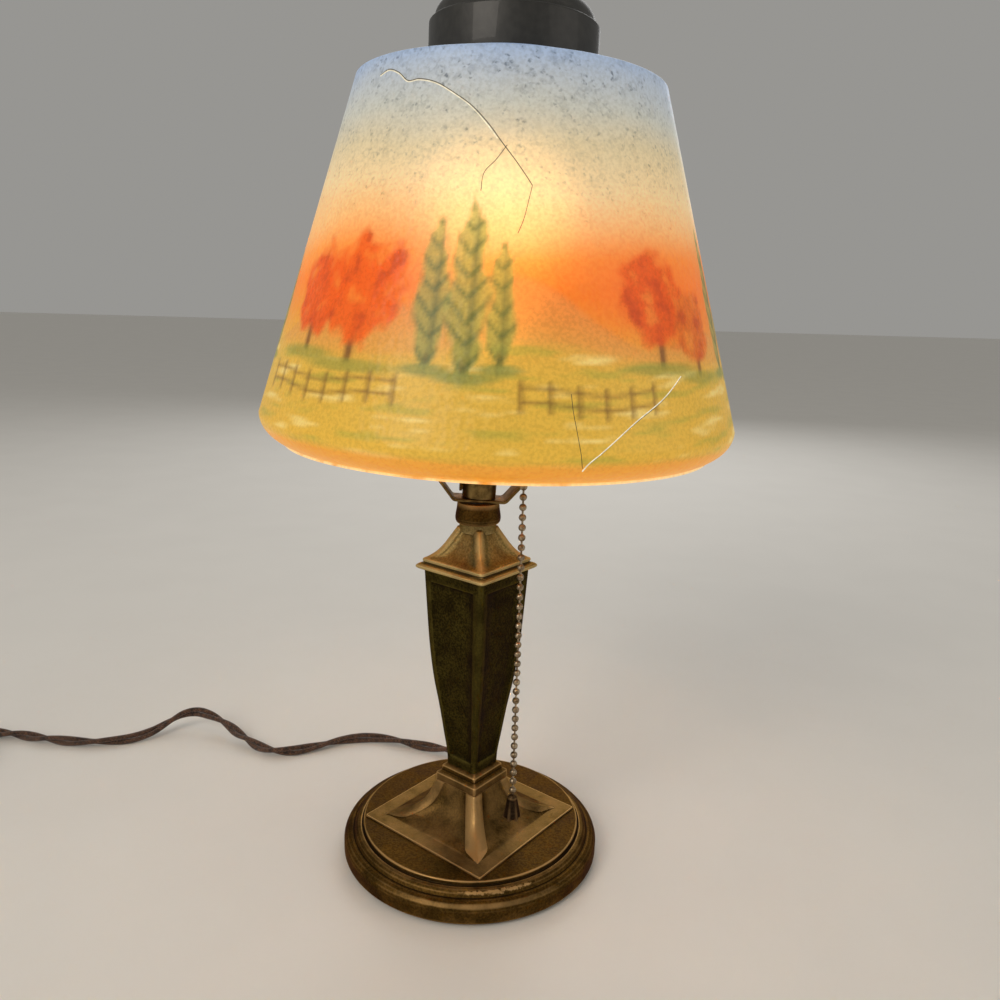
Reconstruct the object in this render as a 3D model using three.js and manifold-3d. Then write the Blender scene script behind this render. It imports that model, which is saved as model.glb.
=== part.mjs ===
// Small table lamp with a reverse painted glass shade on a cast, four-sided stem.
// Millimetres, +Z up. The origin is the middle of the felt under the round foot.
// A corner of the square stem points to -Y, and the harp strap stands in the XZ plane.
// The head (strap, socket and bulb) leans on the neck, and the shade sits straighter on the strap.

import * as THREE from 'three';
import { mergeVertices } from 'three/addons/utils/BufferGeometryUtils.js';
import Module from 'manifold-3d';

// Clearances and counts shared by many pieces
const fit = 0.3;
const overrun = 1;
const roundSides = 36;
const shadeSides = 40;
const turnedSides = 24;
const smallSides = 16;
const pinSides = 10;
const boreSides = 12;

// Lean of the head on the neck and of the shade
const headLean = THREE.MathUtils.degToRad(3.2);
const shadeLean = THREE.MathUtils.degToRad(0.9);

// Felt pad
const feltThickness = 1.2;
const feltInset = 2.6;

// Round foot casting
const footRadius = 60;
const footBevel = 1;
const footSideTop = 7.6;
const footShoulderInset = 3.4;
const footShoulderRadius = footRadius - footShoulderInset;
const footShoulderTop = 11;
const footShoulderBow = 0.9;
const ringOuterInset = 4.4;
const ringOuterRadius = footRadius - ringOuterInset;
const ringInnerInset = 8;
const ringInnerRadius = footRadius - ringInnerInset;
const ringBase = 11.2;
const ringTop = 13.8;
const ringBow = 0.8;
const discInset = 9.1;
const discRadius = footRadius - discInset;
const discEdge = 14;
const discTop = 15.65;
const footWall = 3.4;
const plateInset = 0.9;
const plateCorner = discRadius - plateInset;
const plateThickness = 0.85;

// Four-sided flare, its corner ribs and the two bands above it, given by half-diagonals
const flareInset = 9;
const flareCorner = plateCorner - flareInset;
const flareTop = 34.2;
const flareShares = [[1, 0], [0.63, 0.14], [0.38, 0.29], [0.22, 0.46], [0.1, 0.7], [0, 1]];
const ribRise = 0.8;
const ridgeRound = 1.1;
const flareRibNarrow = 2.9;
const flareRibWide = 5.4;
const flareRibPoint = 5.5;
const flareRibShoulder = flareCorner - flareRibPoint;
const lowerBandCorner = 17.2;
const lowerBandTop = 37.9;
const upperBandCorner = 14.6;
const upperBandBase = 39.2;
const upperBandTop = 41.4;
const stemBase = 42.8;
const cavityNeckRadius = 9.4;
const cavityWaistRadius = 14;
const cavityWaistHeight = 18.4;
const cavityMouthRadius = 25;
const bossFace = 32.6;

// Cord hole and bushing in the back of the foot
const cordHeight = 6.2;
const bushingBarrelRadius = 4.1;
const bushingFlangeRadius = 5.1;
const bushingFlangeThickness = 1.2;
const bushingNoseRadius = 3.8;
const bushingNoseLength = 2.6;
const bushingInside = 16;
const bushingBore = 3.1;

// Column
const columnTop = 138.7;
const columnFootCorner = 12.1;
const columnHeadCorner = 24.4;
const columnLowerShares = [[0, 0], [0.033, 0.01], [0.17, 0.18], [0.31, 0.37]];
const columnUpperShares = [[0.47, 0.62], [0.64, 0.79], [0.81, 0.895], [1, 1]];
const columnSteps = 10;
const columnWall = 3;
const columnFloor = 3;
const chamferShare = 0.08;
const panelWidthShare = 0.51;
const panelFoot = 5;
const panelHead = 5.4;
const panelDepth = 0.6;

// Capital
const flangeLowCorner = 27.8;
const flangeLowRise = 1.2;
const flangeLowTop = 140.9;
const flangeGrooveCorner = 24.2;
const flangeGrooveTop = 141.9;
const flangeLipCorner = 24.6;
const flangeTop = 143.4;
const flangeRound = 0.7;
const pyramidTopCorner = 9.2;
const pyramidTop = 158.2;
const pyramidShares = [[1, 0], [0.8, 0.1], [0.6, 0.24], [0.42, 0.43], [0.22, 0.7], [0, 1]];
const pyramidBorder = 1.9;
const capitalRibNarrow = 2.5;
const capitalRibWide = 3.3;
const neckRadius = 8.2;
const spigotCorner = 18.6;
const spigotDepth = 3;

// Neck collar
const collarBase = 161.7;
const collarLipRadius = 9.9;
const collarLipHeight = 1.7;
const collarTopRadius = 8.7;
const neckTop = 170;

// Threaded pipe, washer and nut
const pipeRadius = 4.8;
const pipeBore = 3.5;
const pipeFoot = 24;
const leadBendShares = [[0.1, 0.62], [0.45, 0.35], [1.2, 0.26], [2.2, 0.26]];
const pipeHead = 8;
const washerRadius = 8.4;
const washerThickness = 1.2;
const nutThickness = 4.2;
const nutCorner = 8.6;

// Harp strap, in the head's own frame
const strapThickness = 1.2;
const strapWidth = 13;
const strapFootHalf = 11.6;
const strapKneeHalf = 35.4;
const strapKneeHeight = 29;
const strapHeight = 168;
const strapFootRound = 3;
const strapKneeRound = 9;
const strapTopRound = 6;

// Socket cap, shell and sleeve
const hubRadius = 7.4;
const hubHeight = 10;
const socketCapRadius = 17.8;
const socketCapShoulder = 19;
const socketCapTop = 24.5;
const sheet = 0.9;
const shellRadius = 16.5;
const shellSheet = 0.6;
const shellBase = 20.5;
const shellTop = 64;
const shellRimRadius = 17.3;
const shellRimHeight = 1.6;
const sleeveRadius = 15.6;
const sleeveWall = 0.8;
const sleeveTop = 62;
const setScrewRadius = 1.3;
const setScrewHeight = 5.6;
const setScrewHead = 1.4;

// Switch inside the socket
const switchRadius = 14.4;
const switchBase = 23;
const switchTop = 41;
const slotHalfWidth = 5.8;
const slotBase = 24.9;
const slotTop = 38.4;
const slotInner = -9.4;
const axleHeight = 29.5;
const axleRadius = 1.1;
const axleHalfLength = 8;
const wheelRadius = 4.4;
const wheelRoot = 3.4;
const wheelTeeth = 8;
const wheelInner = 2.1;
const wheelOuter = 4.3;
const hubRunning = 0.3;
const leverHub = 2.4;
const leverHalfWidth = 1.7;
const leverArmHalf = 0.8;
const leverForkHalf = 0.85;
const leverLength = 8.2;
const forkFloor = 3.6;
const springRadius = 2.3;
const springWire = 0.3;
const springTurns = 3;
const springPitch = 0.9;
const springGap = 0.4;
const terminalScrewRadius = 2.6;
const terminalScrewHead = 1.5;
const terminalScrewReach = 9;

// Screw shell, centre contact and bulb
const screwShellRadius = 14.1;
const screwShellInner = 13.5;
const screwShellTop = 61;
const contactHalfLength = 7;
const contactHalfWidth = 3;
const contactThickness = 0.6;
const contactRise = 1.3;
const bulbTip = 43.6;
const bulbTipRadius = 3.2;
const bulbInsulatorRadius = 11.6;
const bulbBaseFoot = 46;
const bulbBaseTop = 67;
const bulbBaseRadius = 13.1;
const bulbThreadDepth = 0.6;
const bulbThreads = 4;
const bulbGlassWall = 0.8;
const bulbNeckRadius = 11.9;
const bulbGlobeRadius = 30;
const bulbHeadroom = 17;
const bulbGlobeHeight = strapHeight - bulbHeadroom - bulbGlobeRadius;
const bulbShares = [[0.395, 0], [0.48, 0.18], [0.64, 0.42], [0.85, 0.68], [0.97, 0.87]];
const mountFlange = 10.6;
const mountStem = 3.6;
const mountHeight = 92;
const mountFlare = 72;

// Pull chain, its guide and pull
const beadRadius = 1.6;
const beadPitch = 4.35;
const linkRadius = 0.5;
const beadShoulderShare = 0.85;
const beadShoulderHeightShare = 0.5;
const strandBeads = 36;
const chainSides = 6;
const guideAzimuth = THREE.MathUtils.degToRad(-59);
const guideReach = 28.6;
const guideElbow = 6;
const guideSteps = 8;
const guideStart = 15;
const guideRadius = 3.1;
const guideBore = 2.2;
const guideMouthRadius = 5.2;
const guideMouthBore = 4.3;
const guideMouthDrop = 3.6;
const guideMouthFlare = 2.6;
const guideFlangeRadius = 5.2;
const guideFlangeThickness = 1;
const chainHeight = 35.5;
const pullTravel = 7;
const hookBeadReach = 6.6;
const innerBeads = 4;
const bellRimRadius = 4;
const bellHeight = 12.6;
const bellShares = [[0.5, 0.13], [0.8, 0], [1, 0], [0.96, 0.12], [0.78, 0.45], [0.58, 0.82], [0.42, 0.94]];
const bellFlutes = 6;
const bellFluteStart = 0.82;
const bellFluteShare = 0.16;

// Shade seat: disc, gasket, stud and nut, in the frame of the strap's top
const seatDiscRadius = 34;
const seatDiscThickness = 1.5;
const studRadius = 2.6;
const gasketInner = 27.4;
const gasketThickness = 1.2;
const studLength = 46;
const studTail = 6.6;
const studNutCorner = 5;
const studNutThickness = 3;

// Glass shade
const shadeHeight = 148.8;
const shadeWall = 3;
const shadeBellyRadius = 99.3;
const shadeCurlHeight = 12.4;
const shadeCurlReach = 16.3;
const shadeBevelInset = 11;
const shadeShoulderRadius = 61.3;
const shadeShoulderDrop = 6.6;
const shadeShoulderRound = 3;
const shadeTopRadius = 38;
const shadeHoleRadius = 26.4;
const curlStopAngle = THREE.MathUtils.degToRad(-62);

// Shade cap and finial
const capRadius = 33.6;
const capWall = 1;
const capBandHeight = 15.4;
const capBandRound = 0.7;
const capLedgeRadius = 31.6;
const capDomeReach = 13.6;
const capDomeRise = 9.6;
const capCrownRise = 1.8;
const finialRadius = 6.5;
const finialHeight = 20;
const finialBoreDepth = 13;
const finialLowerShares = [[1, 0], [1, 0.07], [0.62, 0.15], [0.6, 0.27], [0.86, 0.38]];
const finialUpperShares = [[1, 0.53], [0.98, 0.68], [0.72, 0.83], [0.32, 0.92], [0.24, 0.98]];

// Supply cord, its coil and plug
const cordDiameter = 5.6;
const cordLength = 1800;
const cordSides = 8;
const stepDiameters = 2;
const leadRadius = 2.6;
const leadSides = 6;
const leadSteps = 22;
const coilTurns = 7.25;
const coilPitch = 6.1;
const coilLayerRise = 6.1;
const coilSteps = 24;
const coilSides = 6;
const plugLeadShares = [0.35, 0.7];
const plugRadius = 15;
const plugSkirtLength = 9;
const plugNeckRadius = 6.4;
const plugNeckLength = 8;
const plugBodyLength = 27;
const plugCordBore = 3.2;
const plugBoreDepth = 12;
const coverRadius = 12.6;
const coverThickness = 1;
const coverRecess = 2;
const bladeLength = 17;
const bladeWidth = 6.3;
const bladeThickness = 1.5;
const bladeSpacing = 12.7;
const bladeSunk = 6;

// Points of the cord's route along the table, chosen by hand: x, y and height of its middle
const cordRoute = [
  [0, 64.5, 6.2],
  [0, 70.1, 6.1],
  [-3.2, 76.6, 5],
  [-11, 82.2, 3.6],
  [-23.8, 88.4, 2.9],
  [-35, 94.2, 2.9],
  [-46, 97.8, 2.9],
  [-57.5, 98.6, 2.9],
  [-70, 96, 2.9],
  [-83, 90.2, 2.9],
  [-94, 86.2, 2.9],
  [-104.5, 86.6, 2.9],
  [-114.5, 91.6, 3.2],
  [-125.5, 101.5, 4.5],
  [-136, 111.5, 7],
  [-146, 118, 9.5],
  [-155, 121.5, 10.5],
  [-163, 121, 9.5],
  [-170.5, 116.5, 7],
  [-178, 110.5, 4.5],
  [-188, 105.5, 3],
  [-203, 102.8, 2.9],
  [-222, 104, 2.9],
  [-242, 109.5, 2.9],
  [-262, 115.5, 2.9],
  [-282, 118, 2.9],
  [-294, 118, 2.9],
  [-300, 118, 2.9],
];

// Finishes
function finish(color, roughness, metalness) {
  return new THREE.MeshStandardMaterial({ color, roughness, metalness });
}
const bronze = finish('#4a3d22', 0.5, 0.8);
const brass = finish('#8a6f3f', 0.4, 0.9);
const wornBrass = finish('#a58c62', 0.4, 0.9);
const steel = finish('#6d6a64', 0.45, 0.9);
const darkTin = finish('#3a382e', 0.6, 0.6);
const paper = finish('#6b5636', 0.9, 0);
const phenolic = finish('#221b16', 0.4, 0);
const glass = finish('#e9ead8', 0.1, 0);
const painted = finish('#e2b565', 0.35, 0);
const felt = finish('#3f4a2c', 1, 0);
const braid = finish('#4a3226', 0.9, 0);

const wasm = await Module();
wasm.setup();

const at = (r, z) => new THREE.Vector2(r, z);
const spot = (x, y, z) => new THREE.Vector3(x, y, z);

// Merges shared corners, drops collapsed triangles and turns every face outward.
function welded(geometry) {
  const bare = geometry.clone();
  bare.deleteAttribute('normal');
  bare.deleteAttribute('uv');
  const merged = mergeVertices(bare);
  const corners = merged.index.array;
  const position = merged.attributes.position;
  const kept = [];
  const [a, b, c] = [spot(0, 0, 0), spot(0, 0, 0), spot(0, 0, 0)];
  let volume = 0;
  for (let i = 0; i < corners.length; i += 3) {
    const [p, q, r] = corners.subarray(i, i + 3);
    if (p !== q && q !== r && r !== p) {
      kept.push(p, q, r);
      a.fromBufferAttribute(position, p);
      b.fromBufferAttribute(position, q);
      c.fromBufferAttribute(position, r);
      volume += a.dot(b.cross(c));
    }
  }
  merged.setIndex(volume < 0 ? kept.reverse() : kept);
  return merged;
}

function solidOf(geometry) {
  return new wasm.Manifold(new wasm.Mesh({
    numProp: 3,
    vertProperties: new Float32Array(geometry.attributes.position.array),
    triVerts: new Uint32Array(geometry.index.array),
  }));
}

function geometryOf(solid) {
  const { vertProperties, triVerts } = solid.getMesh();
  const geometry = new THREE.BufferGeometry();
  geometry.setAttribute('position', new THREE.BufferAttribute(vertProperties, 3));
  geometry.setIndex(new THREE.BufferAttribute(triVerts, 1));
  return geometry;
}

function joined(...pieces) {
  return geometryOf(pieces.map(solidOf).reduce((whole, piece) => whole.add(piece)));
}

function common(...pieces) {
  return geometryOf(pieces.map(solidOf).reduce((whole, piece) => whole.intersect(piece)));
}

function cut(piece, ...tools) {
  return geometryOf(tools.map(solidOf).reduce((rest, tool) => rest.subtract(tool), solidOf(piece)));
}

// A body of revolution about Z. Its outline runs from axis to axis, or closes on itself.
// With four sides it becomes a square section whose corners lie on the X and Y axes.
function turned(outline, sides = roundSides) {
  return welded(new THREE.LatheGeometry(outline, sides).rotateX(Math.PI / 2));
}

// A solid of revolution from an outer outline that goes up, closed to the axis at both ends.
function turnedSolid(outline, sides = roundSides) {
  const [foot, head] = [outline[0], outline[outline.length - 1]];
  return turned([at(0, foot.y), ...outline, at(0, head.y)], sides);
}

// A turned shell between an outer and an inner outline that both go up.
function turnedShell(outer, inner, sides = roundSides) {
  return turned([...outer, ...[...inner].reverse(), outer[0]], sides);
}


function disc(radius, low, high, sides = roundSides) {
  return turnedSolid([at(radius, low), at(radius, high)], sides);
}

function washer(inner, outer, low, high, sides = turnedSides) {
  return turnedShell([at(outer, low), at(outer, high)], [at(inner, low), at(inner, high)], sides);
}

const fourSided = (outline) => turnedSolid(outline, 4);

// A prism of a plan outline between two heights.
function prism(outline, low, high) {
  const depth = high - low;
  const shape = new THREE.Shape(outline);
  return welded(new THREE.ExtrudeGeometry(shape, { depth, bevelEnabled: false }).translate(0, 0, low));
}

function box(low, high) {
  const plan = [at(low.x, low.y), at(high.x, low.y), at(high.x, high.y), at(low.x, high.y)];
  return prism(plan, low.z, high.z);
}

const polygon = (radius, sides) => Array.from({ length: sides }, (_, i) => {
  const angle = (i / sides) * 2 * Math.PI;
  return at(radius * Math.cos(angle), radius * Math.sin(angle));
});

// A round bar swept along a path.
function swept(path, radius, sides, steps) {
  const section = new THREE.Shape(polygon(radius, sides));
  return welded(new THREE.ExtrudeGeometry(section, { extrudePath: path, steps, bevelEnabled: false }));
}

// A round bar lying along Y through the middle of an XZ place.
function crossBar(radius, x, z, low, high, sides = pinSides) {
  return disc(radius, low, high, sides).rotateX(-Math.PI / 2).translate(x, 0, z);
}

// A bar that points along +X from a start radius to an end radius at a height.
function spoke(radius, start, end, height, sides = pinSides) {
  return disc(radius, start, end, sides).rotateY(Math.PI / 2).translate(0, 0, height);
}

// Points that bow out to the right of the way from one point to the next.
function bowed(from, to, bow, steps = 3) {
  const across = to.clone().sub(from);
  const out = at(across.y, -across.x).normalize();
  const middle = from.clone().add(to).divideScalar(2).addScaledVector(out, 2 * bow);
  return new THREE.QuadraticBezierCurve(from, middle, to).getPoints(steps);
}

// Rows of shares as an outline from a foot half-width and height to a head half-width and height.
function shared(rows, wide, narrow, low, high) {
  return rows.map(([across, up]) => at(narrow + (wide - narrow) * across, low + (high - low) * up));
}

const widened = (outline, by) => outline.map((point) => at(point.x + by, point.y));
const quarters = (piece) => [0, 1, 2, 3].map((turn) => piece.clone().rotateZ((turn * Math.PI) / 2));

// A rib outline that widens along +X and ends in an arrow tip.
function arrow(narrow, wide, shoulder, tip) {
  return [at(0, -narrow), at(shoulder, -wide), at(tip, 0), at(shoulder, wide), at(0, narrow)];
}

// Foot
const flareOutline = shared(flareShares, flareCorner, lowerBandCorner, discTop + plateThickness, flareTop);

function footCasting() {
  const plateTop = discTop + plateThickness;
  const round = turnedSolid([
    at(footRadius - footBevel, feltThickness),
    at(footRadius, feltThickness + footBevel),
    ...bowed(at(footRadius, footSideTop), at(footShoulderRadius, footShoulderTop), footShoulderBow),
    ...bowed(at(ringOuterRadius, ringBase), at(ringInnerRadius, ringTop), ringBow),
    at(discRadius, discEdge),
    at(discRadius, discTop),
  ]);
  const plate = prism(polygon(plateCorner, 4), discTop - plateThickness, plateTop);
  const sunk = ribRise * Math.SQRT2;
  const core = fourSided([at(flareCorner - sunk, discTop), ...widened(flareOutline, -sunk)]);
  const ribPlan = arrow(flareRibNarrow, flareRibWide, flareRibShoulder, flareCorner);
  const ribs = common(
    fourSided([at(flareCorner, discTop), ...flareOutline]),
    turnedSolid([
      at(flareCorner, discTop),
      at(flareCorner, plateTop),
      ...widened(flareOutline.slice(1), -ridgeRound),
    ]),
    joined(...quarters(prism(ribPlan, discTop, flareTop))),
  );
  const bands = fourSided([
    at(lowerBandCorner, flareTop - fit),
    at(lowerBandCorner, lowerBandTop),
    at(upperBandCorner, upperBandBase),
    at(upperBandCorner, upperBandTop),
    at(columnFootCorner, stemBase),
  ]);
  const cavity = turnedSolid([
    at(footRadius - footWall, feltThickness - overrun),
    at(footRadius - footWall, footSideTop),
    at(discRadius - footWall, discTop - footWall),
    at(cavityMouthRadius, discTop - footWall + fit),
    at(cavityWaistRadius, cavityWaistHeight),
    at(cavityNeckRadius, (cavityWaistHeight + bossFace) / 2),
    at(cavityNeckRadius, bossFace),
  ]);
  const bore = disc(pipeRadius + fit, bossFace - overrun, stemBase + overrun, boreSides);
  const cordHole = spoke(bushingBarrelRadius + fit, discRadius, footRadius + overrun, cordHeight);
  return cut(joined(round, plate, core, ribs, bands), cavity, bore, cordHole.rotateZ(Math.PI / 2));
}

// Column: a tapered square whose sides swell, with chamfered corners and a sunk panel on each face.
const columnCurve = new THREE.SplineCurve([...columnLowerShares, ...columnUpperShares].map(([up, out]) => at(
  columnFootCorner + (columnHeadCorner - columnFootCorner) * out,
  stemBase + (columnTop - stemBase) * up,
)));
const columnOutline = columnCurve.getPoints(columnSteps);

function columnCasting() {
  const blunt = columnOutline.map(({ x, y }) => at(x * (1 - chamferShare) * Math.SQRT2, y));
  const outer = common(fourSided(columnOutline), fourSided(blunt).rotateZ(Math.PI / 4));
  const floor = fourSided(widened(columnOutline, -panelDepth * Math.SQRT2));
  const panelRows = columnOutline.filter(({ y }) => y > stemBase + panelFoot && y < columnTop - panelHead);
  const edge = (height) => {
    const above = columnOutline.findIndex(({ y }) => y >= height);
    const [low, high] = [columnOutline[above - 1], columnOutline[above]];
    const corner = THREE.MathUtils.mapLinear(height, low.y, high.y, low.x, high.x);
    return at(corner * panelWidthShare, height);
  };
  const right = [
    edge(stemBase + panelFoot),
    ...panelRows.map(({ x, y }) => at(x * panelWidthShare, y)),
    edge(columnTop - panelHead),
  ];
  const outline = [...right, ...[...right].reverse().map(({ x, y }) => at(-x, y))];
  const facing = new THREE.Matrix4().makeBasis(spot(0, 1, 0), spot(0, 0, 1), spot(1, 0, 0));
  const panel = prism(outline, 0, columnHeadCorner).applyMatrix4(facing).rotateZ(Math.PI / 4);
  const panels = quarters(panel).map((tool) => cut(tool, floor));
  const hollow = columnOutline
    .filter(({ y }) => y > stemBase + columnFloor)
    .map(({ x, y }) => at(Math.max(x - columnWall * Math.SQRT2, pipeRadius + fit), y));
  const top = hollow[hollow.length - 1];
  const cavity = turnedSolid([...hollow, at(top.x, top.y + overrun)], 4);
  const bore = disc(pipeRadius + fit, stemBase - overrun, columnTop, boreSides);
  return cut(outer, ...panels, cavity, bore);
}

// Capital
function capital() {
  const pyramid = shared(pyramidShares, flangeLipCorner, pyramidTopCorner, flangeTop, pyramidTop);
  const sunk = ribRise * Math.SQRT2;
  const flange = common(
    fourSided([
      at(flangeLowCorner - flangeLowRise, columnTop),
      at(flangeLowCorner, columnTop + flangeLowRise / 2),
      at(flangeLowCorner, flangeLowTop - flangeLowRise),
      at(flangeLowCorner - flangeLowRise, flangeLowTop),
      at(flangeGrooveCorner, flangeLowTop),
      at(flangeGrooveCorner, flangeGrooveTop),
      at(flangeLipCorner, flangeGrooveTop),
      at(flangeLipCorner, flangeTop),
    ]),
    disc(flangeLowCorner - flangeRound, columnTop, flangeTop),
  );
  const core = fourSided([at(flangeGrooveCorner - sunk, flangeGrooveTop), ...widened(pyramid, -sunk)]);
  const ribPlan = arrow(capitalRibNarrow, capitalRibWide, flangeLipCorner, flangeLipCorner + capitalRibWide);
  const borderInside = polygon(flangeLipCorner - pyramidBorder * Math.SQRT2, 4);
  const border = cut(
    prism(polygon(flangeLipCorner + overrun, 4), flangeTop - overrun, pyramidTop),
    prism(borderInside, flangeTop - 2 * overrun, pyramidTop + overrun),
  );
  const ribs = common(
    fourSided([at(flangeLipCorner, flangeTop - overrun), ...pyramid]),
    turnedSolid([
      at(flangeLipCorner, flangeTop - overrun),
      at(flangeLipCorner, flangeTop),
      ...widened(pyramid, -ridgeRound / 2),
    ]),
    joined(border, ...quarters(prism(ribPlan, flangeTop - overrun, pyramidTop))),
  );
  const neck = disc(neckRadius, pyramidTop - overrun, collarBase);
  const spigot = prism(polygon(spigotCorner, 4), columnTop - spigotDepth, columnTop + overrun);
  const bore = disc(pipeRadius + fit, columnTop - spigotDepth - overrun, collarBase + overrun, boreSides);
  return cut(joined(flange, core, ribs, neck, spigot), bore);
}

// The head's own frame stands on the neck and leans about Y.
const headFrame = new THREE.Matrix4().makeRotationY(headLean).setPosition(0, 0, neckTop);

function neckCollar() {
  const ring = turnedSolid([
    at(collarLipRadius - collarLipHeight / 2, collarBase),
    at(collarLipRadius, collarBase + collarLipHeight / 3),
    at(collarLipRadius, collarBase + collarLipHeight),
    at(collarLipRadius - collarLipHeight / 3, collarBase + collarLipHeight + fit),
    at(collarTopRadius, neckTop + overrun),
  ], turnedSides);
  const lip = disc(collarLipRadius, collarBase, neckTop + 2 * overrun, 10);
  const above = disc(collarLipRadius * 2, -fit, collarLipRadius).applyMatrix4(headFrame);
  const bore = disc(pipeRadius + fit, collarBase - overrun, neckTop + 2 * overrun, boreSides);
  return cut(common(ring, lip), above, bore);
}

// Pipe: straight through the stem, bent at the neck where the head leans.
function threadedPipe() {
  const bar = (radius, low, high) => joined(
    disc(radius, low, neckTop, boreSides),
    disc(radius, -radius, high, boreSides).applyMatrix4(headFrame),
  );
  return cut(bar(pipeRadius, pipeFoot, pipeHead), bar(pipeBore, pipeFoot - overrun, pipeHead + overrun));
}

const nutTop = bossFace - washerThickness;

function hexNut(corner, hole, low, high) {
  return cut(disc(corner, low, high, 6), disc(hole, low - overrun, high + overrun, boreSides));
}

// Strap: a closed loop of flat strip, rounded at its bends, with holes for the pipe and the stud.
const topTilt = Math.tan(headLean - shadeLean);

function roundedLoop(corners, rounds) {
  const path = [];
  corners.forEach((corner, i) => {
    const before = corners[(i + corners.length - 1) % corners.length].clone().sub(corner).normalize();
    const after = corners[(i + 1) % corners.length].clone().sub(corner).normalize();
    const half = before.angleTo(after) / 2;
    const reach = rounds[i] / Math.tan(half);
    const start = corner.clone().addScaledVector(before, reach);
    const end = corner.clone().addScaledVector(after, reach);
    path.push(...new THREE.QuadraticBezierCurve(start, corner, end).getPoints(3));
  });
  return path;
}

function insetLoop(corners, by) {
  return corners.map((corner, i) => {
    const before = corner.clone().sub(corners[(i + corners.length - 1) % corners.length]).normalize();
    const after = corners[(i + 1) % corners.length].clone().sub(corner).normalize();
    const inward = at(-before.y, before.x).add(at(-after.y, after.x)).normalize();
    const half = inward.dot(at(-before.y, before.x));
    return corner.clone().addScaledVector(inward, by / half);
  });
}

function harpStrap() {
  const corners = [
    at(-strapFootHalf, 0),
    at(strapFootHalf, 0),
    at(strapKneeHalf, strapKneeHeight),
    at(strapKneeHalf, strapHeight + strapKneeHalf * topTilt),
    at(-strapKneeHalf, strapHeight - strapKneeHalf * topTilt),
    at(-strapKneeHalf, strapKneeHeight),
  ];
  const rounds = [
    strapFootRound,
    strapFootRound,
    strapKneeRound,
    strapTopRound,
    strapTopRound,
    strapKneeRound,
  ];
  const shape = new THREE.Shape(roundedLoop(corners, rounds));
  const innerRounds = rounds.map((round) => round - strapThickness);
  const inner = roundedLoop(insetLoop(corners, strapThickness), innerRounds);
  shape.holes.push(new THREE.Path(inner));
  const strip = new THREE.ExtrudeGeometry(shape, { depth: strapWidth, bevelEnabled: false });
  const loop = welded(strip.rotateX(Math.PI / 2).translate(0, strapWidth / 2, 0));
  const pipeHole = disc(pipeRadius + fit, -overrun, strapThickness + overrun, boreSides);
  const holeFoot = strapHeight - 2 * strapThickness;
  const studHole = disc(studRadius + 2 * fit, holeFoot, strapHeight + overrun, boreSides);
  return cut(loop, pipeHole, studHole);
}

// Socket
const hubBore = pipeRadius + fit;
const socketFloor = strapThickness + fit;

function socketCap() {
  const bell = (inset) => new THREE.CubicBezierCurve(
    at(hubRadius - inset, hubHeight + inset),
    at(hubRadius - inset, (hubHeight + socketCapShoulder) / 2 + inset),
    at(socketCapRadius - inset, (hubHeight + socketCapShoulder) / 2 + inset),
    at(socketCapRadius - inset, socketCapShoulder + inset),
  ).getPoints(5);
  const outer = [at(hubRadius, socketFloor), ...bell(0), at(socketCapRadius, socketCapTop)];
  const inner = [
    at(hubBore, socketFloor),
    at(hubBore, hubHeight + sheet),
    ...bell(sheet).slice(1),
    at(socketCapRadius - sheet, socketCapTop),
  ];
  const shell = turnedShell(outer, inner, turnedSides);
  const tapped = spoke(setScrewRadius + fit, pipeRadius, hubRadius + overrun, setScrewHeight);
  return cut(shell, tapped.rotateZ(Math.PI));
}

const setScrew = () => joined(
  spoke(setScrewRadius, hubBore, hubRadius + setScrewHead, setScrewHeight),
  spoke(setScrewRadius + 2 * fit, hubRadius + fit, hubRadius + setScrewHead, setScrewHeight),
).rotateZ(Math.PI);

function socketShell() {
  const shell = turnedShell(
    [
      at(shellRadius, shellBase),
      at(shellRadius, shellTop - shellRimHeight),
      at(shellRimRadius, shellTop - shellRimHeight),
      at(shellRimRadius, shellTop),
    ],
    [at(shellRadius - shellSheet, shellBase), at(shellRadius - shellSheet, shellTop)],
    turnedSides,
  );
  return cut(shell, spoke(guideRadius + fit, 0, shellRadius + overrun, chainHeight).rotateZ(guideAzimuth));
}

function insulatingSleeve() {
  const tube = washer(sleeveRadius - sleeveWall, sleeveRadius, switchBase, sleeveTop);
  const hole = spoke(guideRadius + 2 * fit, 0, shellRadius + overrun, chainHeight);
  return cut(tube, hole.rotateZ(guideAzimuth));
}

// Switch parts stand in a frame turned so that +X points at the chain guide.
function switchBody() {
  const slotEnd = spot(switchRadius + overrun, slotHalfWidth, slotTop);
  const slot = box(spot(slotInner, -slotHalfWidth, slotBase), slotEnd);
  const axleHole = crossBar(axleRadius + fit, 0, axleHeight, -axleHalfLength - fit, axleHalfLength + fit);
  const holeRadius = terminalScrewRadius / 2 + fit;
  const screwHole = disc(holeRadius, switchBase - overrun, switchBase + terminalScrewHead, pinSides);
  return cut(
    disc(switchRadius, switchBase, switchTop, turnedSides),
    slot,
    axleHole,
    screwHole.clone().translate(0, terminalScrewReach, 0),
    screwHole.clone().translate(0, -terminalScrewReach, 0),
  );
}

function terminalScrew(side) {
  const [headFoot, headTop] = [switchBase - terminalScrewHead - fit, switchBase - fit];
  return joined(
    disc(terminalScrewRadius, headFoot, headTop, pinSides),
    disc(terminalScrewRadius / 2, headFoot + fit, headTop + terminalScrewHead, pinSides),
  ).translate(0, side * terminalScrewReach, 0);
}

const switchAxle = () => crossBar(axleRadius, 0, axleHeight, -axleHalfLength, axleHalfLength);

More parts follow.
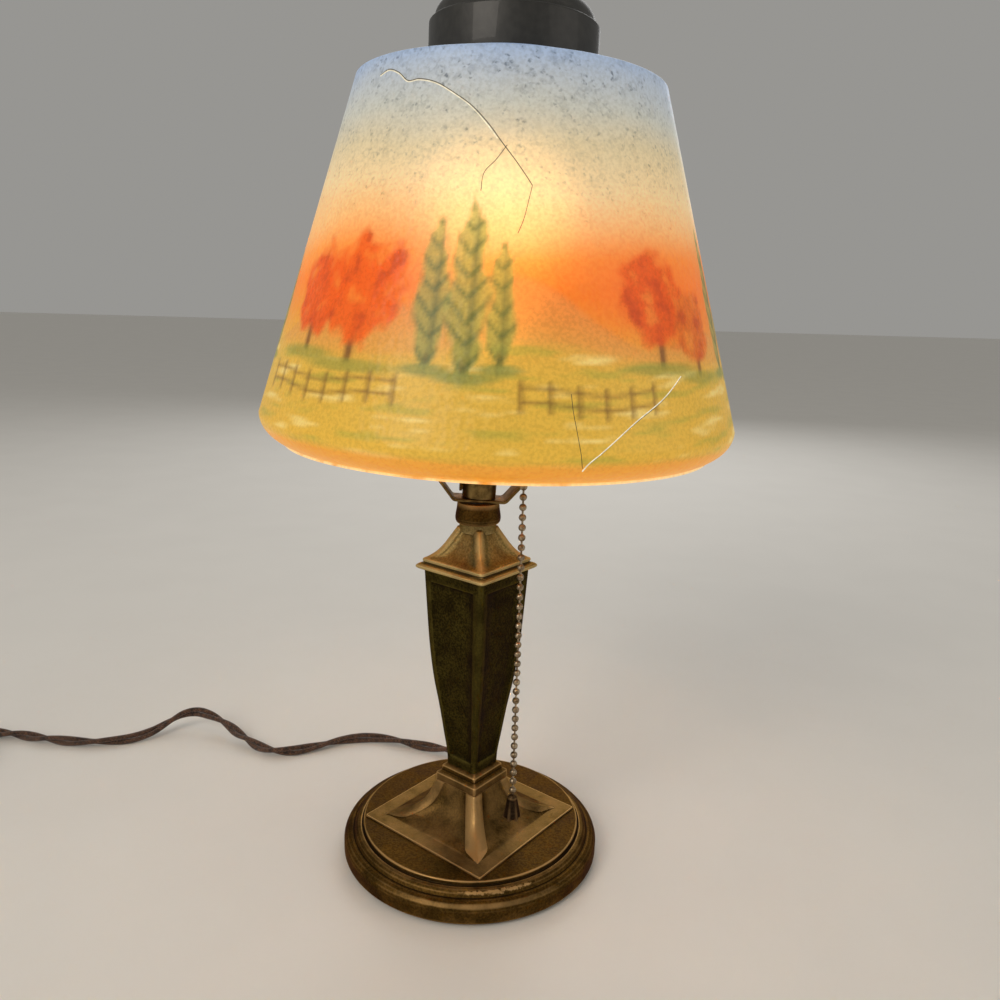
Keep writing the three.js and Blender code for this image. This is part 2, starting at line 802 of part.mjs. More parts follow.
function ratchetWheel() {
  const teeth = Array.from({ length: wheelTeeth }, (_, i) => {
    const angle = (i / wheelTeeth) * 2 * Math.PI;
    const next = angle + (1.7 * Math.PI) / wheelTeeth;
    return [
      at(wheelRoot * Math.cos(angle), wheelRoot * Math.sin(angle)),
      at(wheelRadius * Math.cos(next), wheelRadius * Math.sin(next)),
    ];
  });
  const wheel = prism(teeth.flat(), wheelInner, wheelOuter);
  const bore = disc(axleRadius + hubRunning, wheelInner - overrun, wheelOuter + overrun, pinSides);
  const bored = cut(wheel, bore);
  return bored.rotateX(Math.PI / 2).translate(0, 0, axleHeight);
}

// The lever leans back by half the swing that the chain's travel needs.
const leverReach = chainHeight - axleHeight;
const leverHalfSwing = Math.atan(pullTravel / 2 / leverReach);

function pullLever() {
  const arm = box(spot(-leverArmHalf, -leverHalfWidth, 0), spot(leverArmHalf, leverHalfWidth, leverLength));
  const hub = disc(leverHub, -leverHalfWidth, leverHalfWidth, boreSides).rotateX(Math.PI / 2);
  const fork = box(
    spot(-leverHub, -leverForkHalf, forkFloor),
    spot(leverHub, leverForkHalf, leverLength + overrun),
  );
  const bore = disc(axleRadius + hubRunning, -leverHub, leverHub, pinSides).rotateX(Math.PI / 2);
  return cut(joined(arm, hub), fork, bore).rotateY(-leverHalfSwing).translate(0, 0, axleHeight);
}

// Torsion spring round the axle, beside the lever.
class Helix extends THREE.Curve {
  constructor(radius, pitch, turns) {
    super();
    Object.assign(this, { radius, pitch, turns });
  }

  getPoint(t, target = spot(0, 0, 0)) {
    const angle = t * this.turns * 2 * Math.PI;
    const along = t * this.turns * this.pitch;
    return target.set(this.radius * Math.cos(angle), this.radius * Math.sin(angle), along);
  }
}

function returnSpring() {
  const wire = swept(new Helix(springRadius, springPitch, springTurns), springWire, 5, springTurns * 8);
  const start = leverHalfWidth + springGap + springWire;
  return wire.rotateX(-Math.PI / 2).translate(0, start, axleHeight);
}

const screwShell = () => washer(screwShellInner, screwShellRadius, switchTop + fit, screwShellTop);

function centreContact() {
  const low = switchTop + fit;
  const outline = [
    at(-contactHalfLength, low),
    at(contactHalfLength, low),
    at(contactHalfLength, low + contactThickness),
    at(contactHalfLength / 2, low + contactThickness),
    at(contactHalfWidth, low + contactRise + contactThickness),
    at(-contactHalfWidth, low + contactRise + contactThickness),
    at(-contactHalfLength / 2, low + contactThickness),
    at(-contactHalfLength, low + contactThickness),
  ];
  return prism(outline, -contactHalfWidth, contactHalfWidth).rotateX(Math.PI / 2);
}

// Bulb
const bulbContact = () => turnedSolid([
  at(bulbTipRadius - fit, bulbTip),
  at(bulbTipRadius, bulbTip + contactThickness),
  at(bulbInsulatorRadius, bulbBaseFoot - fit),
  at(bulbInsulatorRadius, bulbBaseFoot + contactThickness),
], smallSides);

function bulbBase() {
  const threadHeight = (bulbBaseTop - bulbBaseFoot) / (bulbThreads + 2);
  const ridges = Array.from({ length: bulbThreads }, (_, i) => {
    const low = bulbBaseFoot + (i + 1) * threadHeight;
    return [at(bulbBaseRadius - bulbThreadDepth, low), at(bulbBaseRadius, low + threadHeight / 2)];
  });
  const outer = [
    at(bulbInsulatorRadius + 2 * fit, bulbBaseFoot),
    ...ridges.flat(),
    at(bulbBaseRadius - bulbThreadDepth, bulbBaseTop - threadHeight),
    at(bulbBaseRadius, bulbBaseTop),
  ];
  const inner = [
    at(bulbInsulatorRadius + fit, bulbBaseFoot),
    at(bulbNeckRadius + fit, bulbBaseFoot + threadHeight),
    at(bulbNeckRadius + fit, bulbBaseTop),
  ];
  return turnedShell(outer, inner, smallSides);
}

function bulbOutline(inset, steps) {
  const foot = bulbBaseTop - (bulbBaseTop - bulbBaseFoot) / 4;
  const rise = bulbGlobeHeight - bulbBaseTop;
  const globe = new THREE.EllipseCurve(
    0, bulbGlobeHeight, bulbGlobeRadius - inset, bulbGlobeRadius - inset, 0, Math.PI / 2,
  ).getPoints(steps);
  const neck = bulbShares.map(([out, up]) => at(bulbGlobeRadius * out - inset, bulbBaseTop + rise * up));
  return [at(bulbNeckRadius - inset, foot), ...neck, ...globe];
}

function bulbGlass() {
  const outer = bulbOutline(0, 5);
  const inner = bulbOutline(bulbGlassWall, 4);
  return turned([...outer, ...inner.reverse(), outer[0]], 18);
}

function bulbMount() {
  const foot = bulbBaseTop - (bulbBaseTop - bulbBaseFoot) / 4;
  return turnedSolid([
    at(mountFlange, foot),
    at(mountFlange, foot + bulbGlassWall),
    at(mountStem, mountFlare),
    at(mountStem / 2, mountHeight),
  ], boreSides);
}

// Chain guide, hung on the side of the shell. Its path turns down at the elbow.
const elbowHeight = chainHeight - guideElbow;
const guidePath = (start, end) => {
  const path = new THREE.CurvePath();
  const corner = spot(guideReach, 0, chainHeight);
  const turn = new THREE.QuadraticBezierCurve3(
    spot(guideReach - guideElbow, 0, chainHeight), corner, spot(guideReach, 0, elbowHeight),
  );
  path.add(new THREE.LineCurve3(spot(start, 0, chainHeight), turn.v0));
  path.add(turn);
  path.add(new THREE.LineCurve3(turn.v2, spot(guideReach, 0, end)));
  return path;
};
const mouthHeight = elbowHeight - guideMouthDrop;

function chainGuide() {
  const arm = swept(guidePath(guideStart, mouthHeight), guideRadius, pinSides, guideSteps);
  const bell = turnedSolid([
    at(guideMouthRadius, mouthHeight),
    at(guideMouthRadius, mouthHeight + guideMouthFlare / 3),
    at(guideRadius, mouthHeight + guideMouthFlare),
  ], smallSides).translate(guideReach, 0, 0);
  const flangeStart = shellRadius + fit;
  const flangeEnd = flangeStart + guideFlangeThickness;
  const flange = spoke(guideFlangeRadius, flangeStart, flangeEnd, chainHeight, smallSides);
  const borePath = guidePath(guideStart - overrun, mouthHeight - overrun);
  const bore = swept(borePath, guideBore, pinSides, guideSteps);
  const flare = turnedSolid([
    at(guideMouthBore, mouthHeight - overrun),
    at(guideMouthBore, mouthHeight),
    at(guideBore, elbowHeight),
  ], smallSides).translate(guideReach, 0, 0);
  return cut(joined(arm, bell, flange), bore, flare);
}

// Bead chain outline: beads at the given heights, joined by thin links, from low to high.
function beadOutline(centres, low, high) {
  const shoulder = beadRadius * beadShoulderShare;
  const rise = beadRadius * beadShoulderHeightShare;
  const beads = centres.flatMap((centre) => [
    at(linkRadius, centre - beadRadius),
    at(shoulder, centre - rise),
    at(shoulder, centre + rise),
    at(linkRadius, centre + beadRadius),
  ]);
  return [at(linkRadius, low), ...beads, at(linkRadius, high)];
}

// Inner stretch of chain: the hook bead behind the lever's fork, and the run to the guide.
function innerChain() {
  const first = -hookBeadReach;
  const second = first + hookBeadReach - linkRadius - fit / 2;
  const centres = [first, ...Array.from({ length: innerBeads }, (_, i) => second + i * beadPitch)];
  const last = centres[centres.length - 1];
  const outline = beadOutline(centres, first - beadRadius - fit, last + beadRadius + fit);
  return turnedSolid(outline, chainSides).rotateY(Math.PI / 2).translate(0, 0, chainHeight);
}

const firstBead = () => turnedSolid([
  at(linkRadius, -beadRadius),
  at(beadRadius * beadShoulderShare, -beadRadius * beadShoulderHeightShare),
  at(beadRadius * beadShoulderShare, beadRadius * beadShoulderHeightShare),
  at(linkRadius, beadRadius),
  at(linkRadius, beadRadius + beadPitch / 2),
], chainSides);

// The hanging strand is plumb, below the first bead in the guide's mouth.
const pivot = spot(guideReach * Math.cos(guideAzimuth), guideReach * Math.sin(guideAzimuth), elbowHeight)
  .applyMatrix4(headFrame);
const strandTop = -beadRadius - fit;
const strandFoot = -strandBeads * beadPitch;

function pullChain() {
  const centres = Array.from({ length: strandBeads }, (_, i) => -(strandBeads - i) * beadPitch);
  return turnedSolid(beadOutline(centres, strandFoot - beadRadius - fit, strandTop), chainSides);
}

// Bell-shaped pull with a fluted, flaring skirt and a shallow dish below.
function pullBell() {
  const top = strandFoot - beadRadius - 2 * fit;
  const low = top - bellHeight;
  const skirt = shared(bellShares, bellRimRadius, 0, low, top);
  const outline = [at(0, skirt[0].y), ...skirt, at(0, top)];
  const bell = new THREE.LatheGeometry(outline, bellFlutes * 4).rotateX(Math.PI / 2);
  const position = bell.attributes.position;
  for (let i = 0; i < position.count; i += 1) {
    const [x, y, z] = [position.getX(i), position.getY(i), position.getZ(i)];
    const down = THREE.MathUtils.clamp(1 - (z - low) / (bellHeight * bellFluteStart), 0, 1);
    const wave = (1 - Math.cos(bellFlutes * Math.atan2(y, x))) / 2;
    const share = 1 - bellFluteShare * down * wave;
    position.setXYZ(i, x * share, y * share, z);
  }
  return welded(bell);
}

// Shade seat
const discLow = fit;
const gasketLow = discLow + seatDiscThickness + fit;
const glassLow = gasketLow + gasketThickness + fit;
const glassTop = glassLow + shadeWall;
const studHoleRadius = studRadius + fit;

const seatDisc = () => washer(studHoleRadius, seatDiscRadius, discLow, discLow + seatDiscThickness);

function seatGasket() {
  return washer(gasketInner, seatDiscRadius - fit, gasketLow, gasketLow + gasketThickness);
}

const shadeStud = () => disc(studRadius, -studTail, studLength, pinSides);

function studNut() {
  const top = -strapThickness - fit;
  return hexNut(studNutCorner, studHoleRadius, top - studNutThickness, top);
}

// Glass shade: a cone with a curled rim, a ground bevel at its edge and a low crown with a hole.
function shadeOutline(inset, curlSteps) {
  const rim = glassTop - shadeHeight;
  const belly = rim + shadeCurlHeight;
  const curlRadius = shadeBellyRadius - shadeCurlReach;
  const curl = new THREE.EllipseCurve(
    curlRadius, belly, shadeCurlReach - inset, shadeCurlHeight - inset, curlStopAngle, 0,
  ).getPoints(curlSteps);
  const shoulder = at(shadeShoulderRadius, glassTop - shadeShoulderDrop);
  const crown = at(shadeTopRadius, glassTop);
  const along = at(shadeBellyRadius, belly).sub(shoulder).normalize();
  const inward = crown.clone().sub(shoulder).normalize();
  const start = shoulder.clone().addScaledVector(along, shadeShoulderRound);
  const end = shoulder.clone().addScaledVector(inward, shadeShoulderRound);
  if (inset > 0) {
    const sideways = shadeShoulderRadius - inset / Math.cos(Math.atan2(along.x, -along.y));
    const under = glassTop - inset;
    const inside = at(sideways, shoulder.y - inset);
    return [...curl, inside, at(shadeTopRadius, under), at(shadeHoleRadius, under)];
  }
  const round = new THREE.QuadraticBezierCurve(start, shoulder, end).getPoints(2);
  return [...curl, ...round, crown, at(shadeHoleRadius, glassTop)];
}

function glassShade() {
  const rim = glassTop - shadeHeight;
  const outer = shadeOutline(0, 5);
  const inner = shadeOutline(shadeWall, 4);
  const ground = [at(shadeBellyRadius - shadeBevelInset, rim)];
  const groundInner = at(inner[0].x, rim + fit);
  return turned([...ground, ...outer, ...inner.reverse(), groundInner, ground[0]], shadeSides);
}

// Cap over the shade's hole
const capLow = glassTop + fit;

function capOutline(inset, domeSteps) {
  const bandTop = capLow + capBandHeight;
  const dome = new THREE.EllipseCurve(
    capLedgeRadius - capDomeReach,
    bandTop + capBandRound,
    capDomeReach - inset,
    capDomeRise - inset,
    0,
    Math.PI / 2,
  ).getPoints(domeSteps);
  const crownRadius = studHoleRadius + fit;
  return [
    at(capRadius - inset, capLow),
    at(capRadius - inset, bandTop - capBandRound - inset),
    at(capRadius - capBandRound - inset, bandTop - inset),
    at(capLedgeRadius - inset + fit, bandTop + capBandRound / 2 - inset),
    ...dome,
    at(crownRadius, bandTop + capBandRound + capDomeRise + capCrownRise - inset),
  ];
}

const capTop = capLow + capBandHeight + capBandRound + capDomeRise + capCrownRise;
const shadeCap = () => turnedShell(capOutline(0, 5), capOutline(capWall, 3), turnedSides);

function finial() {
  const low = capTop + fit;
  const rows = [...finialLowerShares, ...finialUpperShares];
  return turned([
    at(0, low + finialBoreDepth),
    at(studHoleRadius, low + finialBoreDepth),
    at(studHoleRadius, low),
    ...shared(rows, finialRadius, 0, low, low + finialHeight),
    at(0, low + finialHeight),
  ], turnedSides);
}

// Bushing in the back wall, its axis along Y
const bushingFace = footRadius + fit;
const bushingNose = bushingFace + bushingFlangeThickness + bushingNoseLength;

function cordBushing() {
  const start = bushingFace - bushingInside;
  const sleeve = turnedShell(
    [
      at(bushingBarrelRadius, start),
      at(bushingBarrelRadius, bushingFace),
      at(bushingFlangeRadius, bushingFace),
      at(bushingFlangeRadius, bushingFace + bushingFlangeThickness),
      at(bushingNoseRadius, bushingNose),
    ],
    [at(bushingBore, start), at(bushingBore, bushingNose)],
    smallSides,
  );
  return sleeve.rotateX(-Math.PI / 2).translate(0, 0, cordHeight);
}

// Lead inside the foot and the pipe, up into the socket
function innerLead() {
  const headPoint = (height) => spot(0, 0, height).applyMatrix4(headFrame);
  const bend = leadBendShares.map(([out, up]) => spot(0, pipeFoot * out, pipeFoot * up));
  const points = [
    spot(0, bushingNose, cordHeight),
    ...bend.reverse(),
    spot(0, 0, pipeFoot),
    spot(0, 0, bossFace),
    spot(0, 0, columnTop / 2),
    spot(0, 0, columnTop),
    spot(0, 0, collarBase),
    headPoint(pipeHead),
    headPoint(socketCapShoulder - leadRadius),
  ];
  return swept(new THREE.CatmullRomCurve3(points, false, 'centripetal'), leadRadius, leadSides, leadSteps);
}

// Free cord along the table
const cordPath = new THREE.CatmullRomCurve3(cordRoute.map((point) => spot(...point)), false, 'centripetal');
const cordRun = cordPath.getLength();
const cordSteps = Math.round(cordRun / (stepDiameters * cordDiameter));
const supplyCord = () => swept(cordPath, cordDiameter / 2, cordSides, cordSteps);

// Coil of the unseen length: it spirals in on the table, climbs one layer and spirals out again.
const coilStart = cordPath.getPoint(1).add(spot(-fit, 0, 0));
const coilRun = cordLength - cordRun - 2 * cordDiameter - plugBoreDepth;
const coilMean = coilRun / (2 * Math.PI * coilTurns);
const coilOuter = coilMean + (coilPitch * coilTurns) / 4;
const coilCentre = spot(coilStart.x - cordDiameter, coilStart.y - coilOuter, coilStart.z);

function coilPoints() {
  const count = Math.round(coilTurns * coilSteps);
  const halfClimb = 1 / (4 * coilTurns);
  const [climbStart, climbEnd] = [1 / 2 - halfClimb, 1 / 2 + halfClimb];
  const points = [coilStart.clone()];
  for (let i = 0; i <= count; i += 1) {
    const share = i / count;
    const angle = Math.PI / 2 + share * coilTurns * 2 * Math.PI;
    const turnsFromEnd = (1 - Math.abs(2 * share - 1)) * (coilTurns / 2);
    const radius = coilOuter - coilPitch * turnsFromEnd;
    const rise = THREE.MathUtils.smoothstep(share, climbStart, climbEnd) * coilLayerRise;
    points.push(spot(
      coilCentre.x + radius * Math.cos(angle),
      coilCentre.y + radius * Math.sin(angle),
      coilCentre.z + rise,
    ));
  }
  return points;
}

const plugEnd = coilPoints().pop();
const plugRise = plugRadius - plugEnd.z;
const leadOut = cordDiameter * 3;
const plugFace = spot(plugEnd.x, plugEnd.y - leadOut - cordDiameter, plugRadius);

function coilRoute() {
  const points = coilPoints();
  plugLeadShares.forEach((share) => {
    const rise = plugRise * THREE.MathUtils.smoothstep(share, 0, 1);
    points.push(spot(plugEnd.x, plugEnd.y - leadOut * share, plugEnd.z + rise));
  });
  points.push(spot(plugEnd.x, plugFace.y + cordDiameter, plugRadius));
  points.push(plugFace.clone());
  return points;
}

// A tube through its own points, each ring square to the way between its neighbours.
function ringed(points, radius, sides) {
  const positions = [];
  const corners = [];
  points.forEach((point, i) => {
    const before = points[Math.max(i - 1, 0)];
    const after = points[Math.min(i + 1, points.length - 1)];
    const ahead = after.clone().sub(before).normalize();
    const side = spot(0, 0, 1).cross(ahead).normalize();
    const up = ahead.clone().cross(side);
    for (let k = 0; k < sides; k += 1) {
      const angle = (k / sides) * 2 * Math.PI;
      const corner = point.clone()
        .addScaledVector(side, radius * Math.cos(angle))
        .addScaledVector(up, radius * Math.sin(angle));
      positions.push(...corner.toArray());
    }
  });
  const last = (points.length - 1) * sides;
  for (let i = 0; i < last; i += sides) {
    for (let k = 0; k < sides; k += 1) {
      const [a, b] = [i + k, i + ((k + 1) % sides)];
      corners.push(a, b, b + sides, a, b + sides, a + sides);
    }
  }
  for (let k = 1; k < sides - 1; k += 1) {
    corners.push(0, k + 1, k, last, last + k, last + k + 1);
  }
  const geometry = new THREE.BufferGeometry();
  geometry.setAttribute('position', new THREE.Float32BufferAttribute(positions, 3));
  geometry.setIndex(corners);
  return welded(geometry);
}

// Least distance between stretches of the coil that lie more than half a loop apart, less a diameter.
function selfGap(points, diameter) {
  let least = Infinity;
  for (let i = 0; i < points.length; i += 1) {
    for (let j = i + coilSteps / 2; j < points.length; j += 1) {
      least = Math.min(least, points[i].distanceTo(points[j]));
    }
  }
  return least - diameter;
}

// Round plug on its side: its skirt faces away from the coil
function plugTurned(outline, sides) {
  return turned(outline, sides).rotateX(Math.PI / 2).translate(plugFace.x, plugFace.y, plugFace.z);
}

function plugBody() {
  const skirtStart = plugBodyLength - plugSkirtLength;
  return plugTurned([
    at(plugCordBore, 0),
    at(plugNeckRadius, 0),
    ...new THREE.QuadraticBezierCurve(
      at(plugNeckRadius, plugNeckLength),
      at(plugNeckRadius, skirtStart),
      at(plugRadius, skirtStart),
    ).getPoints(5),
    at(plugRadius, plugBodyLength),
    at(coverRadius + fit, plugBodyLength),
    at(coverRadius + fit, plugBodyLength - coverRecess),
    at(0, plugBodyLength - coverRecess),
    at(0, plugBoreDepth),
    at(plugCordBore, plugBoreDepth),
    at(plugCordBore, 0),
  ], turnedSides);
}

const bladeAt = (side, grow) => {
  const [halfWidth, halfThickness] = [bladeWidth / 2 + grow, bladeThickness / 2 + grow];
  const [low, high] = [plugBodyLength - bladeSunk - grow, plugBodyLength + bladeLength + grow];
  const centre = (side * bladeSpacing) / 2;
  return box(spot(centre - halfThickness, -halfWidth, low), spot(centre + halfThickness, halfWidth, high))
    .rotateX(Math.PI / 2)
    .translate(plugFace.x, plugFace.y, plugFace.z);
};

function plugCover() {
  const low = plugBodyLength - coverRecess + fit;
  const high = low + coverThickness;
  const outline = [at(0, low), at(coverRadius, low), at(coverRadius, high), at(0, high)];
  const card = plugTurned(outline, turnedSides);
  return cut(card, bladeAt(-1, fit), bladeAt(1, fit));
}

// Assembly
const lamp = new THREE.Group();
const head = new THREE.Group();
head.position.set(0, 0, neckTop);
head.rotation.y = headLean;
const socketSwitch = new THREE.Group();
socketSwitch.rotation.z = guideAzimuth;
const seat = new THREE.Group();
seat.position.set(0, 0, strapHeight);
seat.rotation.y = shadeLean - headLean;
const chain = new THREE.Group();
chain.position.copy(pivot);
lamp.add(head, chain);
head.add(socketSwitch, seat);

function add(group, name, geometry, material) {
  const mesh = new THREE.Mesh(geometry, material);
  mesh.name = name;
  group.add(mesh);
}

add(lamp, 'felt_pad', disc(footRadius - feltInset, 0, feltThickness), felt);
add(lamp, 'foot_casting', footCasting(), bronze);
add(lamp, 'column_casting', columnCasting(), bronze);
add(lamp, 'capital_casting', capital(), bronze);
add(lamp, 'neck_collar', neckCollar(), bronze);
add(lamp, 'threaded_pipe', threadedPipe(), steel);
add(lamp, 'foot_washer', washer(pipeRadius + fit, washerRadius, nutTop, bossFace, smallSides), steel);
add(lamp, 'foot_nut', hexNut(nutCorner, pipeRadius + fit, nutTop - nutThickness, nutTop), steel);
add(head, 'harp_strap', harpStrap(), brass);
add(head, 'socket_cap', socketCap(), brass);
add(head, 'socket_set_screw', setScrew(), brass);
add(head, 'socket_shell', socketShell(), brass);
add(head, 'insulating_sleeve', insulatingSleeve(), paper);
add(socketSwitch, 'switch_body', switchBody(), phenolic);
add(socketSwitch, 'terminal_screw_left', terminalScrew(-1), brass);
add(socketSwitch, 'terminal_screw_right', terminalScrew(1), brass);
add(socketSwitch, 'switch_axle', switchAxle(), steel);
add(socketSwitch, 'ratchet_wheel', ratchetWheel(), brass);
add(socketSwitch, 'pull_lever', pullLever(), brass);
add(socketSwitch, 'return_spring', returnSpring(), steel);
add(head, 'screw_shell', screwShell(), brass);
add(head, 'centre_contact', centreContact(), brass);
add(head, 'bulb_contact', bulbContact(), steel);
add(head, 'bulb_base', bulbBase(), brass);
add(head, 'bulb_glass', bulbGlass(), glass);
add(head, 'bulb_mount', bulbMount(), glass);
add(socketSwitch, 'chain_guide', chainGuide(), brass);
add(socketSwitch, 'inner_chain', innerChain(), wornBrass);
add(chain, 'first_bead', firstBead(), wornBrass);
add(chain, 'pull_chain', pullChain(), wornBrass);
add(chain, 'pull_bell', pullBell(), bronze);
add(seat, 'seat_disc', seatDisc(), steel);
add(seat, 'seat_gasket', seatGasket(), felt);
add(seat, 'shade_stud', shadeStud(), steel);
add(seat, 'stud_nut', studNut(), steel);
add(seat, 'glass_shade', glassShade(), painted);
add(seat, 'shade_cap', shadeCap(), darkTin);
add(seat, 'finial', finial(), bronze);
add(lamp, 'cord_bushing', cordBushing(), phenolic);
add(lamp, 'inner_lead', innerLead(), braid);
add(lamp, 'supply_cord', supplyCord(), braid);
add(lamp, 'cord_coil', ringed(coilRoute(), cordDiameter / 2, coilSides), braid);
add(lamp, 'plug_body', cut(plugBody(), bladeAt(-1, fit), bladeAt(1, fit)), phenolic);
add(lamp, 'plug_cover', plugCover(), paper);
add(lamp, 'plug_blade_left', bladeAt(-1, 0), brass);
add(lamp, 'plug_blade_right', bladeAt(1, 0), brass);

console.log(`cord ${cordRun.toFixed(1)} mm on the table, coil mean radius ${coilMean.toFixed(2)} mm`);
console.log(`coil least self-gap ${selfGap(coilPoints(), cordDiameter).toFixed(2)} mm`);

export default lamp;
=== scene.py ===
import math

import bmesh
import bpy
import numpy as np
from mathutils import Matrix, Vector


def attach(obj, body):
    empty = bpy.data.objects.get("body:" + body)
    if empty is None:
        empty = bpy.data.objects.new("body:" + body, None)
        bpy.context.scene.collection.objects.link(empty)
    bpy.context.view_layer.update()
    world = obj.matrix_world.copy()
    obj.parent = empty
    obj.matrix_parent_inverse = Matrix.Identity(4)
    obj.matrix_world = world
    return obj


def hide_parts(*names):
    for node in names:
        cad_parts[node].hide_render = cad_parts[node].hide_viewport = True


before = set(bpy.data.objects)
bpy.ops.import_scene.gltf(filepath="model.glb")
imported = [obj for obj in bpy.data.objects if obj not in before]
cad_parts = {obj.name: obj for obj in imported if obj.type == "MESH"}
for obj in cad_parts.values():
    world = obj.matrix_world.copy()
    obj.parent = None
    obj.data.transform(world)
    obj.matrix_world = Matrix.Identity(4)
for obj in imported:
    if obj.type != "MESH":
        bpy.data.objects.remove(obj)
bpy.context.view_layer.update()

# Lengths in metres: a millimetre, the gap over which points are joined, and for worn edges their roundness
# and the least length of an edge
MM = 0.001
WELD = 2e-6
EDGE_ROUND, LEAST_EDGE = 0.0011, 0.0001
# Faces that meet at less than this bend are shaded as one
SHARP_BEND = math.radians(65)

# Places of the leaning head, of the shade's seat on it and of the switch, in mm and degrees as in the solids
HEAD_LEAN, SHADE_LEAN = math.radians(3.2), math.radians(0.9)
SWITCH_TURN = math.radians(-59)
NECK_TOP, STRAP_HEIGHT = 170, 168
GUIDE_REACH, CHAIN_HEIGHT, GUIDE_ELBOW = 28.6, 35.5, 6
ON_ITS_SIDE = Matrix.Rotation(math.pi / 2, 4, "Y")
HEAD = Matrix.Translation((0, 0, NECK_TOP * MM)) @ Matrix.Rotation(HEAD_LEAN, 4, "Y")
SEAT = HEAD @ Matrix.Translation((0, 0, STRAP_HEIGHT * MM)) @ Matrix.Rotation(SHADE_LEAN - HEAD_LEAN, 4, "Y")
SWITCH = HEAD @ Matrix.Rotation(SWITCH_TURN, 4, "Z")
PIVOT = Matrix.Translation(SWITCH @ Vector((GUIDE_REACH * MM, 0, (CHAIN_HEIGHT - GUIDE_ELBOW) * MM)))


def linear(code):
    """An sRGB hex colour as linear red, green, blue and alpha."""
    shares = [int(code[i:i + 2], 16) / 255 for i in (1, 3, 5)]
    return [c / 12.92 if c <= 0.04045 else ((c + 0.055) / 1.055) ** 2.4 for c in shares] + [1]


# Camera at the photograph's viewpoint, in metres
CAMERA_AT = (-0.03311, -0.36737, 0.25554)
CAMERA_RIGHT = (0.99365667, -0.10853815, 0.02942598)
CAMERA_UP = (-0.00399285, 0.22744964, 0.97378166)
CAMERA_AHEAD = (0.11238539, 0.96772214, -0.22557347)
camera_data = bpy.data.cameras.new("viewpoint")
camera_data.sensor_width = 36
camera_data.lens = 30.92
camera_data.clip_start = 0.01
camera = bpy.data.objects.new("viewpoint", camera_data)
camera_turn = Matrix([CAMERA_RIGHT, CAMERA_UP, [-v for v in CAMERA_AHEAD]]).transposed()
camera.matrix_world = Matrix.Translation(CAMERA_AT) @ camera_turn.to_4x4()
bpy.context.collection.objects.link(camera)
bpy.context.scene.camera = camera
bpy.context.scene.view_settings.view_transform = "Standard"


# Shapes: every function takes millimetres, and a shape is its points and faces
def through(points, steps):
    """A smooth centripetal curve through the points, with steps between each two."""
    p = np.array(points, float)
    p = np.vstack([2 * p[0] - p[1], p, 2 * p[-1] - p[-2]])
    out = []
    for a, b, c, d in zip(p, p[1:], p[2:], p[3:]):
        t = np.cumsum([0] + [max(np.linalg.norm(v), 1e-6) ** 0.5 for v in (b - a, c - b, d - c)])
        for s in np.linspace(t[1], t[2], steps, endpoint=False):
            ab = a + (b - a) * (s - t[0]) / (t[1] - t[0])
            bc = b + (c - b) * (s - t[1]) / (t[2] - t[1])
            cd = c + (d - c) * (s - t[2]) / (t[3] - t[2])
            abc = ab + (bc - ab) * (s - t[0]) / (t[2] - t[0])
            bcd = bc + (cd - bc) * (s - t[1]) / (t[3] - t[1])
            out.append(abc + (bcd - abc) * (s - t[1]) / (t[2] - t[1]))
    return np.array(out + [p[-2]])


def bend(start, corner, end, steps):
    """Points round a corner, from its start to its end."""
    shares = np.linspace(0, 1, steps + 1)
    return [(1 - t) ** 2 * start + 2 * t * (1 - t) * corner + t * t * end for t in shares]


def eased(outline, radius=0.4, steps=3, closed=False):
    """The outline with each corner rounded by up to the radius."""
    p = np.array(outline, float)
    out = []
    for i, corner in enumerate(p):
        if not closed and i in (0, len(p) - 1):
            out.append(corner)
            continue
        before, after = p[i - 1] - corner, p[(i + 1) % len(p)] - corner
        far = [max(np.linalg.norm(v), 1e-9) for v in (before, after)]
        reach = min(radius, 0.45 * far[0], 0.45 * far[1])
        out += bend(corner + before / far[0] * reach, corner, corner + after / far[1] * reach, steps)
    return np.array(out)


def run_along(path):
    """How far each point is along a path."""
    return np.concatenate([[0], np.cumsum(np.linalg.norm(np.diff(path, axis=0), axis=1))])


def smooth(share):
    """A share from nought to one, slow at both ends."""
    return share * share * (3 - 2 * share)


def angles_round(sides):
    """The angles of points spread evenly round a full turn."""
    return np.arange(sides) / sides * 2 * math.pi


def circle(radius, sides, centre=(0, 0)):
    """A round section."""
    return [(centre[0] + radius * math.cos(a), centre[1] + radius * math.sin(a)) for a in angles_round(sides)]


def grid(rings, closed_along=False):
    """Rings of equal count, joined in order, and the last to the first if closed along."""
    rings = np.array(rings, float)
    count, sides = rings.shape[:2]
    index = np.arange(count * sides).reshape(count, sides)
    rows = np.vstack([index, index[:1]]) if closed_along else index
    rows = np.hstack([rows, rows[:, :1]])
    a, b, c, d = rows[:-1, :-1], rows[:-1, 1:], rows[1:, 1:], rows[1:, :-1]
    return rings.reshape(-1, 3), np.stack([a, b, c, d], -1).reshape(-1, 4).tolist()


def turned(outline, sides=64, closed=False):
    """A body of revolution about Z from an outline of radius and height."""
    rings = [[(r * math.cos(a), r * math.sin(a), z) for a in angles_round(sides)] for r, z in outline]
    return grid(rings, closed_along=closed)


def turned_eased(outline, radius, sides):
    """A body of revolution from a closed outline with its corners rounded."""
    return turned(eased(outline, radius, closed=True), sides, closed=True)


def lofted(rings):
    """Rings joined in order, with both ends closed."""
    points, faces = grid(rings)
    sides = len(rings[0])
    last = len(points) - sides
    return points, faces + [list(range(sides))[::-1], list(range(last, last + sides))]


